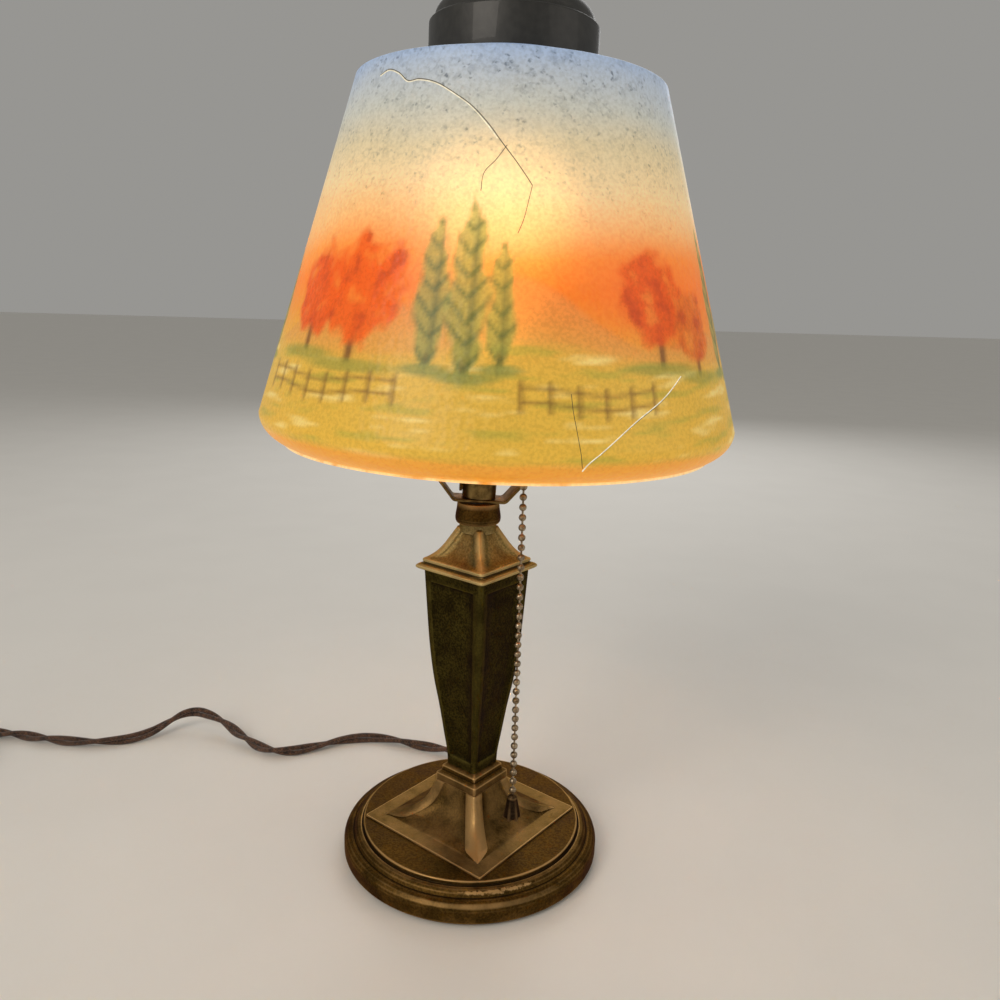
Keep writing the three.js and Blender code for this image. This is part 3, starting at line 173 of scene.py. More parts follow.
def carried(path, section, twist=None):
    """Rings of a section carried along a path, turned by twist at each length."""
    p = np.array(path, float)
    ahead = np.gradient(p, axis=0)
    ahead /= np.linalg.norm(ahead, axis=1)[:, None]
    up = np.array((0, 0, 1.0)) if abs(ahead[0][2]) < 0.9 else np.array((1.0, 0, 0))
    rings = []
    for point, way, length in zip(p, ahead, run_along(p)):
        up = up - way * np.dot(up, way)
        up /= np.linalg.norm(up)
        side = np.cross(way, up)
        turned_by = twist(length) if twist else 0
        c, s = math.cos(turned_by), math.sin(turned_by)
        rings.append([point + side * (x * c - y * s) + up * (x * s + y * c) for x, y in section])
    return rings


def outward(shape):
    """The shape with its faces turned outwards, by the sign of its volume."""
    points, faces = np.array(shape[0], float), shape[1]
    fans = np.array([(face[0], face[k], face[k + 1]) for face in faces for k in range(1, len(face) - 1)])
    a, b, c = points[fans].transpose(1, 0, 2)
    turned_in = (a * np.cross(b, c)).sum() < 0
    return points, [face[::-1] for face in faces] if turned_in else faces


def together(*shapes):
    """Several shapes as one."""
    points, faces = [], []
    for shape_points, shape_faces in map(outward, shapes):
        start = sum(len(p) for p in points)
        points.append(shape_points)
        faces += [[i + start for i in face] for face in shape_faces]
    return np.vstack(points), faces


def moved(shape, place):
    """A shape carried by a matrix, its points still in millimetres."""
    m = np.array(place, float)
    return (shape[0] * MM @ m[:3, :3].T + m[:3, 3]) / MM, shape[1]


def ripple(x, y, size, seed):
    """Smooth noise of about one unit, its features about the size in mm."""
    own = np.random.default_rng(seed)
    total = np.zeros_like(x)
    for octave in (1, 1.9, 3.7):
        for _ in range(5):
            a, phase = own.uniform(0, 2 * math.pi, 2)
            total += np.sin((x * math.cos(a) + y * math.sin(a)) * octave * math.pi / size + phase) / octave
    return total / 3.2


# Pieces: a shape with its wear and painted light, finish, body and the solids that it stands for
def rows_of(rows, field, width, kind=float):
    """One field of a mesh's points or edges, as rows of a width."""
    values = np.empty(len(rows) * width, kind)
    rows.foreach_get(field, values)
    return values.reshape(-1, width)


def write_points(mesh, name, kind, values):
    """Writes a value to each point of a mesh, under the name by which its material reads it."""
    field = {"FLOAT": "value", "FLOAT_VECTOR": "vector", "FLOAT_COLOR": "color"}[kind]
    mesh.attributes.new(name, kind, "POINT").data.foreach_set(field, np.ravel(values))


def wear_and_painted_light(mesh, wear_and_light):
    """Writes how sharply the surface bends out at each point, for worn edges and dark grooves, and adds the
    piece's own painted highlights and painted shade.
    """
    points, normals = rows_of(mesh.vertices, "co", 3), rows_of(mesh.vertices, "normal", 3)
    ends = rows_of(mesh.edges, "vertices", 2, int)
    a, b = ends.T
    way = points[b] - points[a]
    length = np.maximum(np.linalg.norm(way, axis=1), LEAST_EDGE)
    way *= (2 * EDGE_ROUND / length ** 2)[:, None]
    stands, met = np.zeros(len(points)), np.zeros(len(points))
    np.add.at(stands, a, -(normals[a] * way).sum(1))
    np.add.at(stands, b, (normals[b] * way).sum(1))
    np.add.at(met, ends, 1)
    met = np.maximum(met, 1)
    stands /= met
    for _ in range(2):
        spread = np.zeros(len(points))
        np.add.at(spread, a, stands[b])
        np.add.at(spread, b, stands[a])
        stands = 0.5 * stands + 0.5 * spread / met
    if wear_and_light:
        stands = wear_and_light(points / MM, stands)
    write_points(mesh, "wear_and_painted_light", "FLOAT", np.clip(stands, -1, 1))


def piece(name, shape, finish, body, nodes="", place=Matrix(), wear_and_light=None):
    """A named object that rides on a body and stands for solids, their names given with spaces between."""
    mesh = bpy.data.meshes.new(name)
    points, faces = outward(shape)
    mesh.from_pydata((points * MM).tolist(), [], faces)
    obj = bpy.data.objects.new(name, mesh)
    bpy.context.collection.objects.link(obj)
    welded = bmesh.new()
    welded.from_mesh(mesh)
    bmesh.ops.remove_doubles(welded, verts=welded.verts, dist=WELD)
    welded.to_mesh(mesh)
    welded.free()
    mesh.shade_smooth()
    mesh.set_sharp_from_angle(angle=SHARP_BEND)
    wear_and_painted_light(mesh, wear_and_light)
    mesh.materials.append(finish)
    obj.matrix_world = place
    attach(obj, body)
    if nodes:
        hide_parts(*nodes.split())
    return obj


# Sockets and settings of a node that mixes two colours
BY, UNDER, OVER = 0, 6, 7
LAID_OVER = {"data_type": "RGBA", "out": 2}
MULTIPLIED = {**LAID_OVER, "blend_type": "MULTIPLY"}


def add(tree, kind, *inputs, out=0, stops=(), **settings):
    """Adds a node with its settings, values, links and colour stops, and gives the output asked for."""
    made = tree.nodes.new("ShaderNode" + kind)
    for key, value in settings.items():
        setattr(made, key, value)
    for place, value in inputs:
        socket = made.inputs[place]
        if isinstance(value, bpy.types.NodeSocket):
            tree.links.new(value, socket)
        else:
            socket.default_value = value
    for i, (place, code) in enumerate(stops):
        band = made.color_ramp.elements
        element = band[i] if i < len(band) else band.new(place)
        element.position, element.color = place, linear(code)
    return made.outputs[out]


def surface(name, colour, **sockets):
    """A material with one principled shader, the values that are the same all over set on its sockets."""
    made = bpy.data.materials.new(name)
    made.use_nodes = True
    shader = made.node_tree.nodes["Principled BSDF"]
    for key, value in {"Base_Color": linear(colour), **sockets}.items():
        shader.inputs[key.replace("_", " ")].default_value = value
    return made, made.node_tree, shader


def feed(shader, **outputs):
    """Links outputs to the shader's sockets of the same names."""
    for key, output in outputs.items():
        shader.id_data.links.new(output, shader.inputs[key.replace("_", " ")])


def per(size):
    """The scale of a pattern whose features have a size in mm."""
    return 1 / (size * MM)


def cast_bronze(name, dark, middle, worn_and_highlight, grain_dark="#989898"):
    """Cast spelter with a bronze patina: mottled oxide, grainy as cast, worn bright on its edges, with
    painted highlights and painted shade where a piece writes them.
    """
    # The oxide skin takes a little of the bare metal's mirror away and browns what is seen at low angles
    made, tree, shader = surface(name, middle, Metallic=0.85, Specular_Tint=linear("#B39468"))
    where = add(tree, "TexCoord", out="Object")
    # Patina clouds of 12 mm, and casting grain of about 0.9 mm
    clouds = add(tree, "TexNoise", ("Vector", where), ("Scale", per(12)), ("Detail", 5), ("Roughness", 0.62))
    grain = add(tree, "TexNoise", ("Vector", where), ("Scale", per(0.9)), ("Detail", 2))
    patina = add(tree, "ValToRGB", ("Fac", clouds), stops=[(0.38, dark), (0.62, middle)])
    speckle = add(tree, "ValToRGB", ("Fac", grain), stops=[(0.38, grain_dark), (0.62, "#FFFFFF")])
    body = add(tree, "Mix", (BY, 0.75), (UNDER, patina), (OVER, speckle), **MULTIPLIED)
    edge = add(tree, "Attribute", attribute_name="wear_and_painted_light", out="Fac")
    wear_and_light = add(tree, "Math", (0, clouds), (1, edge), operation="MULTIPLY")
    # Bare metal shows where the written value is high: on worn edges, and as painted highlights where a piece
    # writes them
    high = add(tree, "MapRange", ("Value", wear_and_light), ("From Min", 0.07), ("From Max", 0.36))
    # Below nought the written value darkens towards near black: patina in grooves, and painted shade where a
    # piece writes it
    low = add(tree, "MapRange", ("Value", edge), ("From Min", -0.1), ("From Max", -0.6), ("To Max", 0.8))
    # Chips of 1 to 3 mm, where the casting was knocked, show bright metal
    knocked = add(tree, "Attribute", attribute_name="chipped", out="Fac")
    flakes = add(tree, "TexNoise", ("Vector", where), ("Scale", per(1.9)), ("Detail", 4), ("Roughness", 0.6))
    chip = add(tree, "Math", (0, knocked), (1, flakes), operation="MULTIPLY")
    chip_mask = add(tree, "MapRange", ("Value", chip), ("From Min", 0.36), ("From Max", 0.46))
    bared_and_highlit = add(tree, "Math", (0, high), (1, chip_mask), operation="MAXIMUM")
    worn_and_highlit_body = add(tree, "Mix", (BY, bared_and_highlit), (UNDER, body), (OVER, linear(worn_and_highlight)), **LAID_OVER)
    aged = add(tree, "Mix", (BY, low), (UNDER, worn_and_highlit_body), (OVER, linear("#14100A")), **LAID_OVER)
    rough = add(tree, "MapRange", ("Value", clouds), ("From Min", 0.3), ("From Max", 0.7),
                ("To Min", 0.38), ("To Max", 0.6))
    relief = add(tree, "Bump", ("Height", grain), ("Strength", 0.5), ("Distance", 0.25 * MM))
    feed(shader, Base_Color=aged, Roughness=rough, Normal=relief)
    return made


def sheet_metal(name, colour, stain, roughness, size=3.8):
    """Pressed or turned metal, tarnished in blotches of a size in mm, with fine rubbing marks."""
    made, tree, shader = surface(name, colour, Metallic=1.0)
    where = add(tree, "TexCoord", out="Object")
    blotch = add(tree, "TexNoise", ("Vector", where), ("Scale", per(size)), ("Detail", 6),
                 ("Roughness", 0.65))
    tone = add(tree, "ValToRGB", ("Fac", blotch), stops=[(0.38, stain), (0.62, colour)])
    edge = add(tree, "Attribute", attribute_name="wear_and_painted_light", out="Fac")
    groove = add(tree, "MapRange", ("Value", edge), ("From Min", -0.1), ("From Max", -0.7), ("To Max", 0.75))
    aged = add(tree, "Mix", (BY, groove), (UNDER, tone), (OVER, linear(stain)), **LAID_OVER)
    rough = add(tree, "MapRange", ("Value", blotch), ("To Min", roughness + 0.25),
                ("To Max", roughness - 0.1))
    relief = add(tree, "Bump", ("Height", blotch), ("Strength", 0.15), ("Distance", 0.2 * MM))
    feed(shader, Base_Color=aged, Roughness=rough, Normal=relief)
    return made


def grainy(name, colour, other, size, roughness, height=0.2, **sockets):
    """A matte or glossy body colour broken up by a grain of a size and a height in mm."""
    made, tree, shader = surface(name, colour, Roughness=roughness, **sockets)
    where = add(tree, "TexCoord", out="Object")
    grain = add(tree, "TexNoise", ("Vector", where), ("Scale", per(size)), ("Detail", 4))
    tone = add(tree, "ValToRGB", ("Fac", grain), stops=[(0.35, other), (0.65, colour)])
    relief = add(tree, "Bump", ("Height", grain), ("Strength", 0.4), ("Distance", height * MM))
    feed(shader, Base_Color=tone, Normal=relief)
    return made


# Width in mm of a thread along the strand and of the clouds of fuzz, and of a thread round the strand, in
# sides of the strand's section
THREAD_ALONG, FUZZ_SIZE, THREAD_ROUND = 1.6, 2.122, 2.5


def braided_rayon(name):
    """Brown rayon braid over rubber: crossing threads, whose phases are written to the cord's points."""
    made, tree, shader = surface(name, "#4B3426", Roughness=0.85, Sheen_Weight=0.2, Sheen_Roughness=0.5)
    where = add(tree, "Attribute", attribute_name="braid", out="Vector")
    waves = []
    for slope in (1, -1):
        phase = add(tree, "VectorMath", (0, where), (1, (1, slope, 0)), operation="DOT_PRODUCT", out="Value")
        waves.append(add(tree, "Math", (0, phase), operation="SINE"))
    crossing = add(tree, "Math", (0, waves[0]), (1, waves[1]), operation="MAXIMUM")
    height = add(tree, "MapRange", ("Value", crossing), ("From Min", -0.4), ("From Max", 1))
    fuzz_scale = THREAD_ALONG / (2 * math.pi * FUZZ_SIZE)
    fuzz = add(tree, "TexNoise", ("Vector", where), ("Scale", fuzz_scale), ("Detail", 5))
    tone = add(tree, "ValToRGB", ("Fac", height), stops=[(0.05, "#2A1C13"), (0.75, "#76523C")])
    dust = add(tree, "ValToRGB", ("Fac", fuzz), stops=[(0.35, "#6B6B6B"), (0.65, "#FFFFFF")])
    mixed = add(tree, "Mix", (BY, 1.0), (UNDER, tone), (OVER, dust), **MULTIPLIED)
    relief = add(tree, "Bump", ("Height", height), ("Strength", 0.8), ("Distance", 0.25 * MM))
    feed(shader, Base_Color=mixed, Normal=relief)
    return made


def painted_glass(name, clearness, glow):
    """Moulded glass painted in oils on its inside: pebbled, stained in cells, and lit from behind."""
    made, tree, shader = surface(name, "#E0B070", Roughness=0.34, IOR=1.5, Transmission_Weight=clearness,
                                 Specular_IOR_Level=0.2, Emission_Strength=glow)
    paint = add(tree, "Attribute", attribute_name="painting", out="Color")
    stained = add(tree, "Attribute", attribute_name="stained", out="Fac")
    where = add(tree, "TexCoord", out="Object")
    # Stains in rings 4 mm across, with specks every 2.3 mm between them, thicker towards the top
    clouds = add(tree, "TexNoise", ("Vector", where), ("Scale", per(6)), ("Detail", 5), ("Roughness", 0.7))
    drift = add(tree, "TexNoise", ("Vector", where), ("Scale", per(2)), ("Detail", 3), out="Color")
    shifted = add(tree, "VectorMath", (0, drift), (1, (3 * MM,) * 3), (2, where), operation="MULTIPLY_ADD")
    rings = add(tree, "TexVoronoi", ("Vector", shifted), ("Scale", per(4.4)), out="Distance")
    inner_edge = add(tree, "MapRange", ("Value", rings), ("From Min", 0.2), ("From Max", 0.36))
    outer_edge = add(tree, "MapRange", ("Value", rings), ("From Min", 0.52), ("From Max", 0.38))
    ring = add(tree, "Math", (0, inner_edge), (1, outer_edge), operation="MULTIPLY")
    specks = add(tree, "TexVoronoi", ("Vector", shifted), ("Scale", per(2.3)), out="Distance")
    dot = add(tree, "MapRange", ("Value", specks), ("From Min", 0.34), ("From Max", 0.14))
    marks = add(tree, "Math", (0, ring), (1, 0.5), (2, dot), operation="MULTIPLY_ADD")
    patchy = add(tree, "MapRange", ("Value", clouds), ("From Min", 0.4), ("From Max", 0.6))
    spread = add(tree, "Math", (0, marks), (1, patchy), operation="MULTIPLY")
    mask = add(tree, "Math", (0, spread), (1, stained), operation="MULTIPLY")
    soft_mask = add(tree, "MapRange", ("Value", mask), ("From Max", 1.2), ("To Max", 0.8))
    stain = add(tree, "Mix", (BY, soft_mask), (UNDER, linear("#FFFFFF")), (OVER, linear("#8A8F96")),
                **LAID_OVER)
    # The skin's own grain of 1.2 mm
    skin = add(tree, "TexNoise", ("Vector", where), ("Scale", per(1.2)), ("Detail", 2))
    wash = add(tree, "ValToRGB", ("Fac", skin), stops=[(0.36, "#DDDBD4"), (0.6, "#FFFFFF")])
    toned = add(tree, "Mix", (BY, 1.0), (UNDER, paint), (OVER, stain), **MULTIPLIED)
    mixed = add(tree, "Mix", (BY, 0.45), (UNDER, toned), (OVER, wash), **MULTIPLIED)
    # Hammered skin of the pressed glass in pebbles of about 2.5 mm, and finer frosting
    cells = add(tree, "TexVoronoi", ("Vector", where), ("Scale", per(2.5)), feature="SMOOTH_F1",
                out="Distance")
    pebbles = add(tree, "Bump", ("Height", cells), ("Strength", 0.45), ("Distance", 0.5 * MM))
    relief = add(tree, "Bump", ("Height", clouds), ("Strength", 0.3), ("Distance", 0.4 * MM),
                 ("Normal", pebbles))
    feed(shader, Base_Color=mixed, Emission_Color=mixed, Normal=relief)
    return made


# Cast spelter patinated brown: dull golden brown, with bright rubbed ribs and rims; on the foot it carries a
# painted highlight along the front of the outer roll and a painted sheen on the plate's top
foot_bronze = cast_bronze("cast_spelter_brown_patina", "#4B3817", "#64491F", "#B6925F", "#A4A4A4")
# Cast spelter patinated dark green: nearly black olive, its grain showing as fine specks
stem_bronze = cast_bronze("cast_spelter_green_patina", "#31290F", "#4A411B", "#5E5426", "#606060")
# Cast spelter patinated gold, its colours partly lightened as painted light of the bulb above it: the
# lightest of the castings, tan along its ribs and edges
capital_bronze = cast_bronze("cast_spelter_golden_patina_and_painted_light", "#8C774A", "#A9955E", "#D0B880", "#BCBCBC")
# Rolled brass, aged: warm and half dull, brown in its grooves
fitting_brass = sheet_metal("rolled_brass_aged", "#8F7647", "#63502F", 0.38)
# Drawn brass beads, their nickel worn: a small soft highlight on each
chain_brass = sheet_metal("drawn_brass_beads_worn", "#B7A78E", "#6E5A41", 0.3, size=2)
# Cast spelter patinated near black: light catches only the flutes' crests
bell_bronze = cast_bronze("cast_spelter_dark_patina", "#32261B", "#423225", "#7A6040")
# Turned steel left bare: dull grey with darker blotches
plain_steel = sheet_metal("turned_steel_dull", "#8A867E", "#4C4843", 0.42)
# Spun steel sprayed with dark lacquer: soft grey sheen over a faint orange peel
cap_paint = grainy("spun_steel_dark_lacquer", "#2A2925", "#1F1E1B", 3.3, 0.5, Coat_Weight=0.15)
# Pressed vulcanised fibre: flat brown board with a short grain
fibre_board = grainy("pressed_vulcanised_fibre_brown", "#6A5234", "#4A3822", 1.4, 0.85)
# Moulded phenolic: dark, smooth and half glossy, clouded in its depth
phenolic = grainy("moulded_phenolic_brown", "#2A1D15", "#1B120D", 3.8, 0.32, height=0.05, IOR=1.6,
                  Coat_Weight=0.3)
# Pressed wool felt: no gloss, a fuzzy edge of light
wool_felt = grainy("pressed_wool_felt_green", "#49523A", "#2C3322", 0.7, 0.98, height=0.4, Sheen_Weight=0.5)
# Braided rayon: matte brown with a little sheen. Its threads of 0.7 mm are drawn at 1.6 mm, so that they show
cloth_cord = braided_rayon("braided_rayon_brown")
# Blown glass frosted on its inside: milky, and evenly bright when the bulb is lit
frosted = grainy("blown_glass_frosted_inside", "#FFF1DC", "#FFE9C6", 11, 0.5, height=0.02, IOR=1.52,
                 Transmission_Weight=0.5, Emission_Color=linear("#FFF4E2"), Emission_Strength=2.2)
# Pressed clear glass: wet highlights and see-through
bulb_stem = grainy("pressed_glass_stem_clear", "#F2F4EE", "#DDE2DA", 5, 0.1, height=0.02, IOR=1.52,
                   Transmission_Weight=0.8)
# Pressed glass, pebbled outside, over the paint: soft colours with a wet, broken gloss
outer_glass = painted_glass("pressed_glass_pebbled_painted_behind", 0.15, 0.8)
# The same glass on its painted face, seen from below: brighter and more open to the bulb
inner_glass = painted_glass("pressed_glass_painted_face", 0.8, 0.3)
# Broken glass edge that faces the light: a white hair
lit_edge = grainy("broken_glass_edge_bright", "#E9E4D2", "#B5AC90", 2, 0.2, height=0.02, IOR=1.52,
                  Emission_Color=linear("#FFF6DC"), Emission_Strength=0.4)
# Broken glass edge in the shade: a brown hair
dark_edge = grainy("broken_glass_edge_shaded", "#655836", "#443A22", 2, 0.4, height=0.02, IOR=1.52)
# Rolled paper sweep: plain, pale and matte
floor_paper = grainy("rolled_paper_pale", "#EAE7E1", "#E8E5DF", 70, 0.75, height=0.01)

# Finishes of the solids that stay as they are
KEPT = {
    wool_felt: ["felt_pad", "seat_gasket"],
    plain_steel: ["threaded_pipe", "foot_washer", "foot_nut", "switch_axle", "return_spring", "bulb_contact",
                  "seat_disc", "shade_stud", "stud_nut"],
    fitting_brass: ["socket_set_screw", "terminal_screw_left", "terminal_screw_right", "ratchet_wheel",
                    "pull_lever", "screw_shell", "centre_contact", "bulb_base", "plug_blade_left",
                    "plug_blade_right", "socket_shell"],
    fibre_board: ["insulating_sleeve", "plug_cover"],
    phenolic: ["switch_body", "cord_bushing"],
    cloth_cord: ["inner_lead"],
    bulb_stem: ["bulb_mount"],
}
for finish, names in KEPT.items():
    for name in names:
        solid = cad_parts[name]
        solid.data.materials.clear()
        solid.data.materials.append(finish)

# Supply cord: two braided strands twisted together, from the bushing to the plug, the unseen length coiled
CORD_ROUTE = [
    (0, 64.5, 6.2), (0, 70.1, 6.1), (-3.2, 76.6, 5), (-11, 82.2, 3.6), (-23.8, 88.4, 2.9), (-35, 94.2, 2.9),
    (-46, 97.8, 2.9), (-57.5, 98.6, 2.9), (-70, 96, 2.9), (-83, 90.2, 2.9), (-94, 86.2, 2.9),
    (-104.5, 86.6, 2.9), (-114.5, 91.6, 3.2), (-125.5, 101.5, 4.5), (-136, 111.5, 7), (-146, 118, 9.5),
    (-155, 121.5, 10.5), (-163, 121, 9.5), (-170.5, 116.5, 7), (-178, 110.5, 4.5), (-188, 105.5, 3),
    (-203, 102.8, 2.9), (-222, 104, 2.9), (-242, 109.5, 2.9), (-262, 115.5, 2.9), (-282, 118, 2.9),
    (-294, 118, 2.9), (-300, 118, 2.9),
]
CORD_DIAMETER, CORD_LENGTH = 5.6, 1800
COIL_LEAD, COIL_TURNS, COIL_PITCH, COIL_POINTS = 5.9, 7.25, 6.1, 290
PLUG_RADIUS, PLUG_BORE = 15, 12
TWIST_PITCH, UNEVEN_PITCH, UNEVEN_SHARE = 60, 147, 0.9
STRAND_SIDES, STRAND_GAP, STRAND_STEP = 12, 0.02, 1.7


def coiled(start, length):
    """The round coil of a length: it winds in, climbs by a pitch halfway and winds out again above."""
    outer = length / (2 * math.pi * COIL_TURNS) + COIL_PITCH * COIL_TURNS / 4
    share = np.linspace(0, 1, COIL_POINTS)
    climb = smooth(np.clip((share - 0.5) * 2 * COIL_TURNS + 0.5, 0, 1))
    radius = outer - COIL_PITCH * (1 - np.abs(2 * share - 1)) * COIL_TURNS / 2
    angle = math.pi / 2 + share * COIL_TURNS * 2 * math.pi
    middle = np.array(start) - (COIL_LEAD, outer, 0)
    return middle + np.stack([radius * np.cos(angle), radius * np.sin(angle), COIL_PITCH * climb], 1)


def strand_turn(length):
    """How far the two strands have turned round each other, a little unevenly."""
    return 2 * math.pi * length / TWIST_PITCH + UNEVEN_SHARE * math.sin(2 * math.pi * length / UNEVEN_PITCH)


free_run = through(CORD_ROUTE, 8)
coil_run = coiled(free_run[-1], CORD_LENGTH - run_along(free_run)[-1] - 2 * CORD_DIAMETER - PLUG_BORE)
coil_x, coil_y, coil_z = coil_run[-1]
plug_face = np.array([coil_x, coil_y - 4 * CORD_DIAMETER, PLUG_RADIUS])
lead_rise = [(coil_x, coil_y - 3 * CORD_DIAMETER * step, coil_z + (PLUG_RADIUS - coil_z) * smooth(step))
             for step in (0.35, 0.7)]
lead_out = through([coil_run[-1], *lead_rise, plug_face + (0, CORD_DIAMETER, 0), plug_face], 5)
cord_line = np.vstack([free_run, coil_run, lead_out[1:]])
cord_run = run_along(cord_line)
places = np.linspace(0, cord_run[-1], int(cord_run[-1] / STRAND_STEP))
cord_even = np.stack([np.interp(places, cord_run, cord_line[:, i]) for i in range(3)], 1)

strands = []
for side in (1, -1):
    section = circle(CORD_DIAMETER / 4 - STRAND_GAP, STRAND_SIDES, (side * CORD_DIAMETER / 4, 0))
    strands.append(lofted(carried(cord_even, section, strand_turn)))
cord = piece("supply_cord_strands", together(*strands), cloth_cord, "stand", "supply_cord cord_coil")
along = np.tile(np.repeat(places, STRAND_SIDES), 2)
around = np.abs(np.tile(np.arange(STRAND_SIDES), 2 * len(places)) - STRAND_SIDES / 2)
write_points(cord.data, "braid", "FLOAT_VECTOR", np.stack([
    along * 2 * math.pi / THREAD_ALONG, around * 2 * math.pi / THREAD_ROUND, 0 * along], 1))


# Castings: square sections given by half-diagonals, each face from its middle to its corner
def square_ring(height, half, stations):
    """A ring of four faces, each with stations of distance from the face's middle and depth."""
    rows = [(-d, s) for d, s in stations[::-1] if d > 0] + list(stations)
    points = []
    for face in range(4):
        a = math.pi / 4 + face * math.pi / 2
        for d, s in rows:
            out = half / math.sqrt(2) - s
            points.append((math.cos(a) * out - math.sin(a) * d, math.sin(a) * out + math.cos(a) * d, height))
    return points


def square_moulding(outline, round_off, ease):
    """A solid with plain faces and rounded corners, from an outline of half-diagonal and height."""
    rings = []
    for half, z in eased(outline, ease):
        side = half / math.sqrt(2)
        rings.append(square_ring(z, half, [
            (0, 0), (side * 0.4, 0), (side * 0.75, 0), (side - 2 * round_off, 0),
            (side - round_off, 0.08 * round_off), (side - 0.45 * round_off, 0.3 * round_off)]))
    return lofted(rings)


def ribbed_ring(height, half, rib, sunk, ridge=0.9):
    """A ring with sunk faces between corner ribs that have a rounded ridge."""
    side = half / math.sqrt(2)
    edge = side - min(rib * math.sqrt(2), side * 0.6)
    return square_ring(height, half, [
        (0, sunk), (edge * 0.5, sunk), (edge - 0.35, sunk), (edge + 0.15, sunk * 0.35), (edge + 0.45, 0),
        (side - ridge, 0.02), (side - 0.4 * ridge, 0.25 * ridge)])


def panelled_ring(height, half, chamfer, sunk):
    """A ring whose faces have a sunk panel and a chamfered corner."""
    edge, corner = half * 0.51, math.sqrt(2) * half * (0.5 - chamfer)
    return square_ring(height, half, [
        (0, sunk), (edge * 0.5, sunk), (edge - 0.3, sunk), (edge + 0.1, sunk * 0.4), (edge + 0.4, 0),
        (corner - 0.5, 0), (corner, 0.12)])


# Foot: a turned base, a square plate with a flare of four ribs on it, and two square bands
FLARE_LOW, FLARE_HIGH, FLARE_REACH, FLARE_SUNK = 16.5, 34.2, 41, 0.8
RIB_SHOULDER, RIB_POINT = 37.6, 41.3
# Wear and painted light of the foot: the crest and the lowest height of the roll's painted highlight and of
# the chipped ring, how far forward the ribs shine, and the azimuth of the chips
ROLL_CREST, ROLL_LOW, RING_CREST, RING_LOW = 58.9, 8, 54.3, 9
SHINE_BEFORE, CHIPS_AT = -12, -82
foot_outer = eased([
    (57.4, 1.2), (59, 1.2), (60, 2.2), (60, 7.6), (59.5, 9), (58.3, 10.3), (56.6, 11), (55.5, 11),
    (55.3, 11.4), (54.7, 12.6), (53.4, 13.6), (52, 13.8), (51.5, 13.5), (50.9, 14), (50.9, 15.65),
    (49.4, 15.65), (47, 15.65), (40, 15.65), (28, 15.65), (12, 15.65)], 0.5)
foot_inner = [(12, 12.6), (47.5, 12.2), (56.6, 7.6), (56.6, 1.2)]
foot_round = turned(np.vstack([foot_outer, foot_inner]), 256, closed=True)
plate = square_moulding(
    [(49.7, 14.9), (50, 15.3), (50, 16.5), (49, 16.5), (47, 16.5), (43, 16.5), (30, 16.5)], 0.5, 0.3)
bands = square_moulding([
    (16.4, 34), (17.2, 34.3), (17.2, 37.9), (14.8, 39.1), (14.4, 39.3), (14.4, 41.4), (12.1, 42.75)],
    0.7, 0.45)


def rib_width(half):
    """Half the width of the flare's corner ribs, widest at their shoulders and pointed at their feet."""
    return np.where(half < RIB_SHOULDER, 2.9 + 2.5 * half / RIB_SHOULDER,
                    np.maximum(5.4 * (RIB_POINT - half) / (RIB_POINT - RIB_SHOULDER), 0.4))


flare_rings = [ribbed_ring(FLARE_LOW - 0.2, FLARE_REACH, 0.4, 0.5)]
for half, share in through([(41, 0), (32.2, 0.14), (26.2, 0.29), (22.4, 0.46), (19.6, 0.7), (17.2, 1)], 6):
    height = FLARE_LOW + (FLARE_HIGH - FLARE_LOW) * share
    flare_rings.append(ribbed_ring(height, half, rib_width(half), FLARE_SUNK))


def foot_wear_and_light(p, stands):
    """Handling wear on the flare's ribs and none in hollows, with a painted sheen on the plate's top and a
    painted highlight of the bulb along the front of the outer roll.
    """
    x, y, z = p.T
    spine, half = np.minimum(np.abs(x), np.abs(y)), np.abs(x) + np.abs(y)
    above_plate = z > FLARE_LOW - 0.3
    flared = above_plate & (z < FLARE_HIGH) & (half < FLARE_REACH + 1)
    across = spine / rib_width(half)
    # A painted highlight of the bulb along the front of the outer roll
    painted_roll_highlight = np.clip(1 - np.abs(np.hypot(x, y) - ROLL_CREST) / 0.8, 0, 1) * (z > ROLL_LOW)
    painted_roll_highlight *= np.clip(-y / 60 - 0.75, 0, 1)
    ribs = (flared & (across < 1) & (stands > 0)) * (0.02 + 0.6 * (y < SHINE_BEFORE)) * (1 - 0.5 * across)
    # A painted sheen of light on the plate's top
    painted_plate_sheen = above_plate & (half > FLARE_REACH + 1)
    return np.where(flared, 0.25 + 0.35 * stands, stands) + ribs + 0.33 * painted_plate_sheen + 1.9 * painted_roll_highlight


def foot_chips(p):
    """How likely chips are, highest on the front of the foot's ring, where it's knocked."""
    x, y, z = p.T
    ringed = np.clip(1 - np.abs(np.hypot(x, y) - RING_CREST) / 2.2, 0, 1) * (z > RING_LOW)
    return ringed * np.clip(1.5 - np.abs(np.degrees(np.arctan2(y, x)) - CHIPS_AT) / 24, 0, 1)


foot_shape = together(foot_round, plate, lofted(flare_rings), bands)
foot = piece("foot_casting_dressed", foot_shape, foot_bronze, "stand", "foot_casting",
             wear_and_light=foot_wear_and_light)
write_points(foot.data, "chipped", "FLOAT", foot_chips(rows_of(foot.data.vertices, "co", 3) / MM))

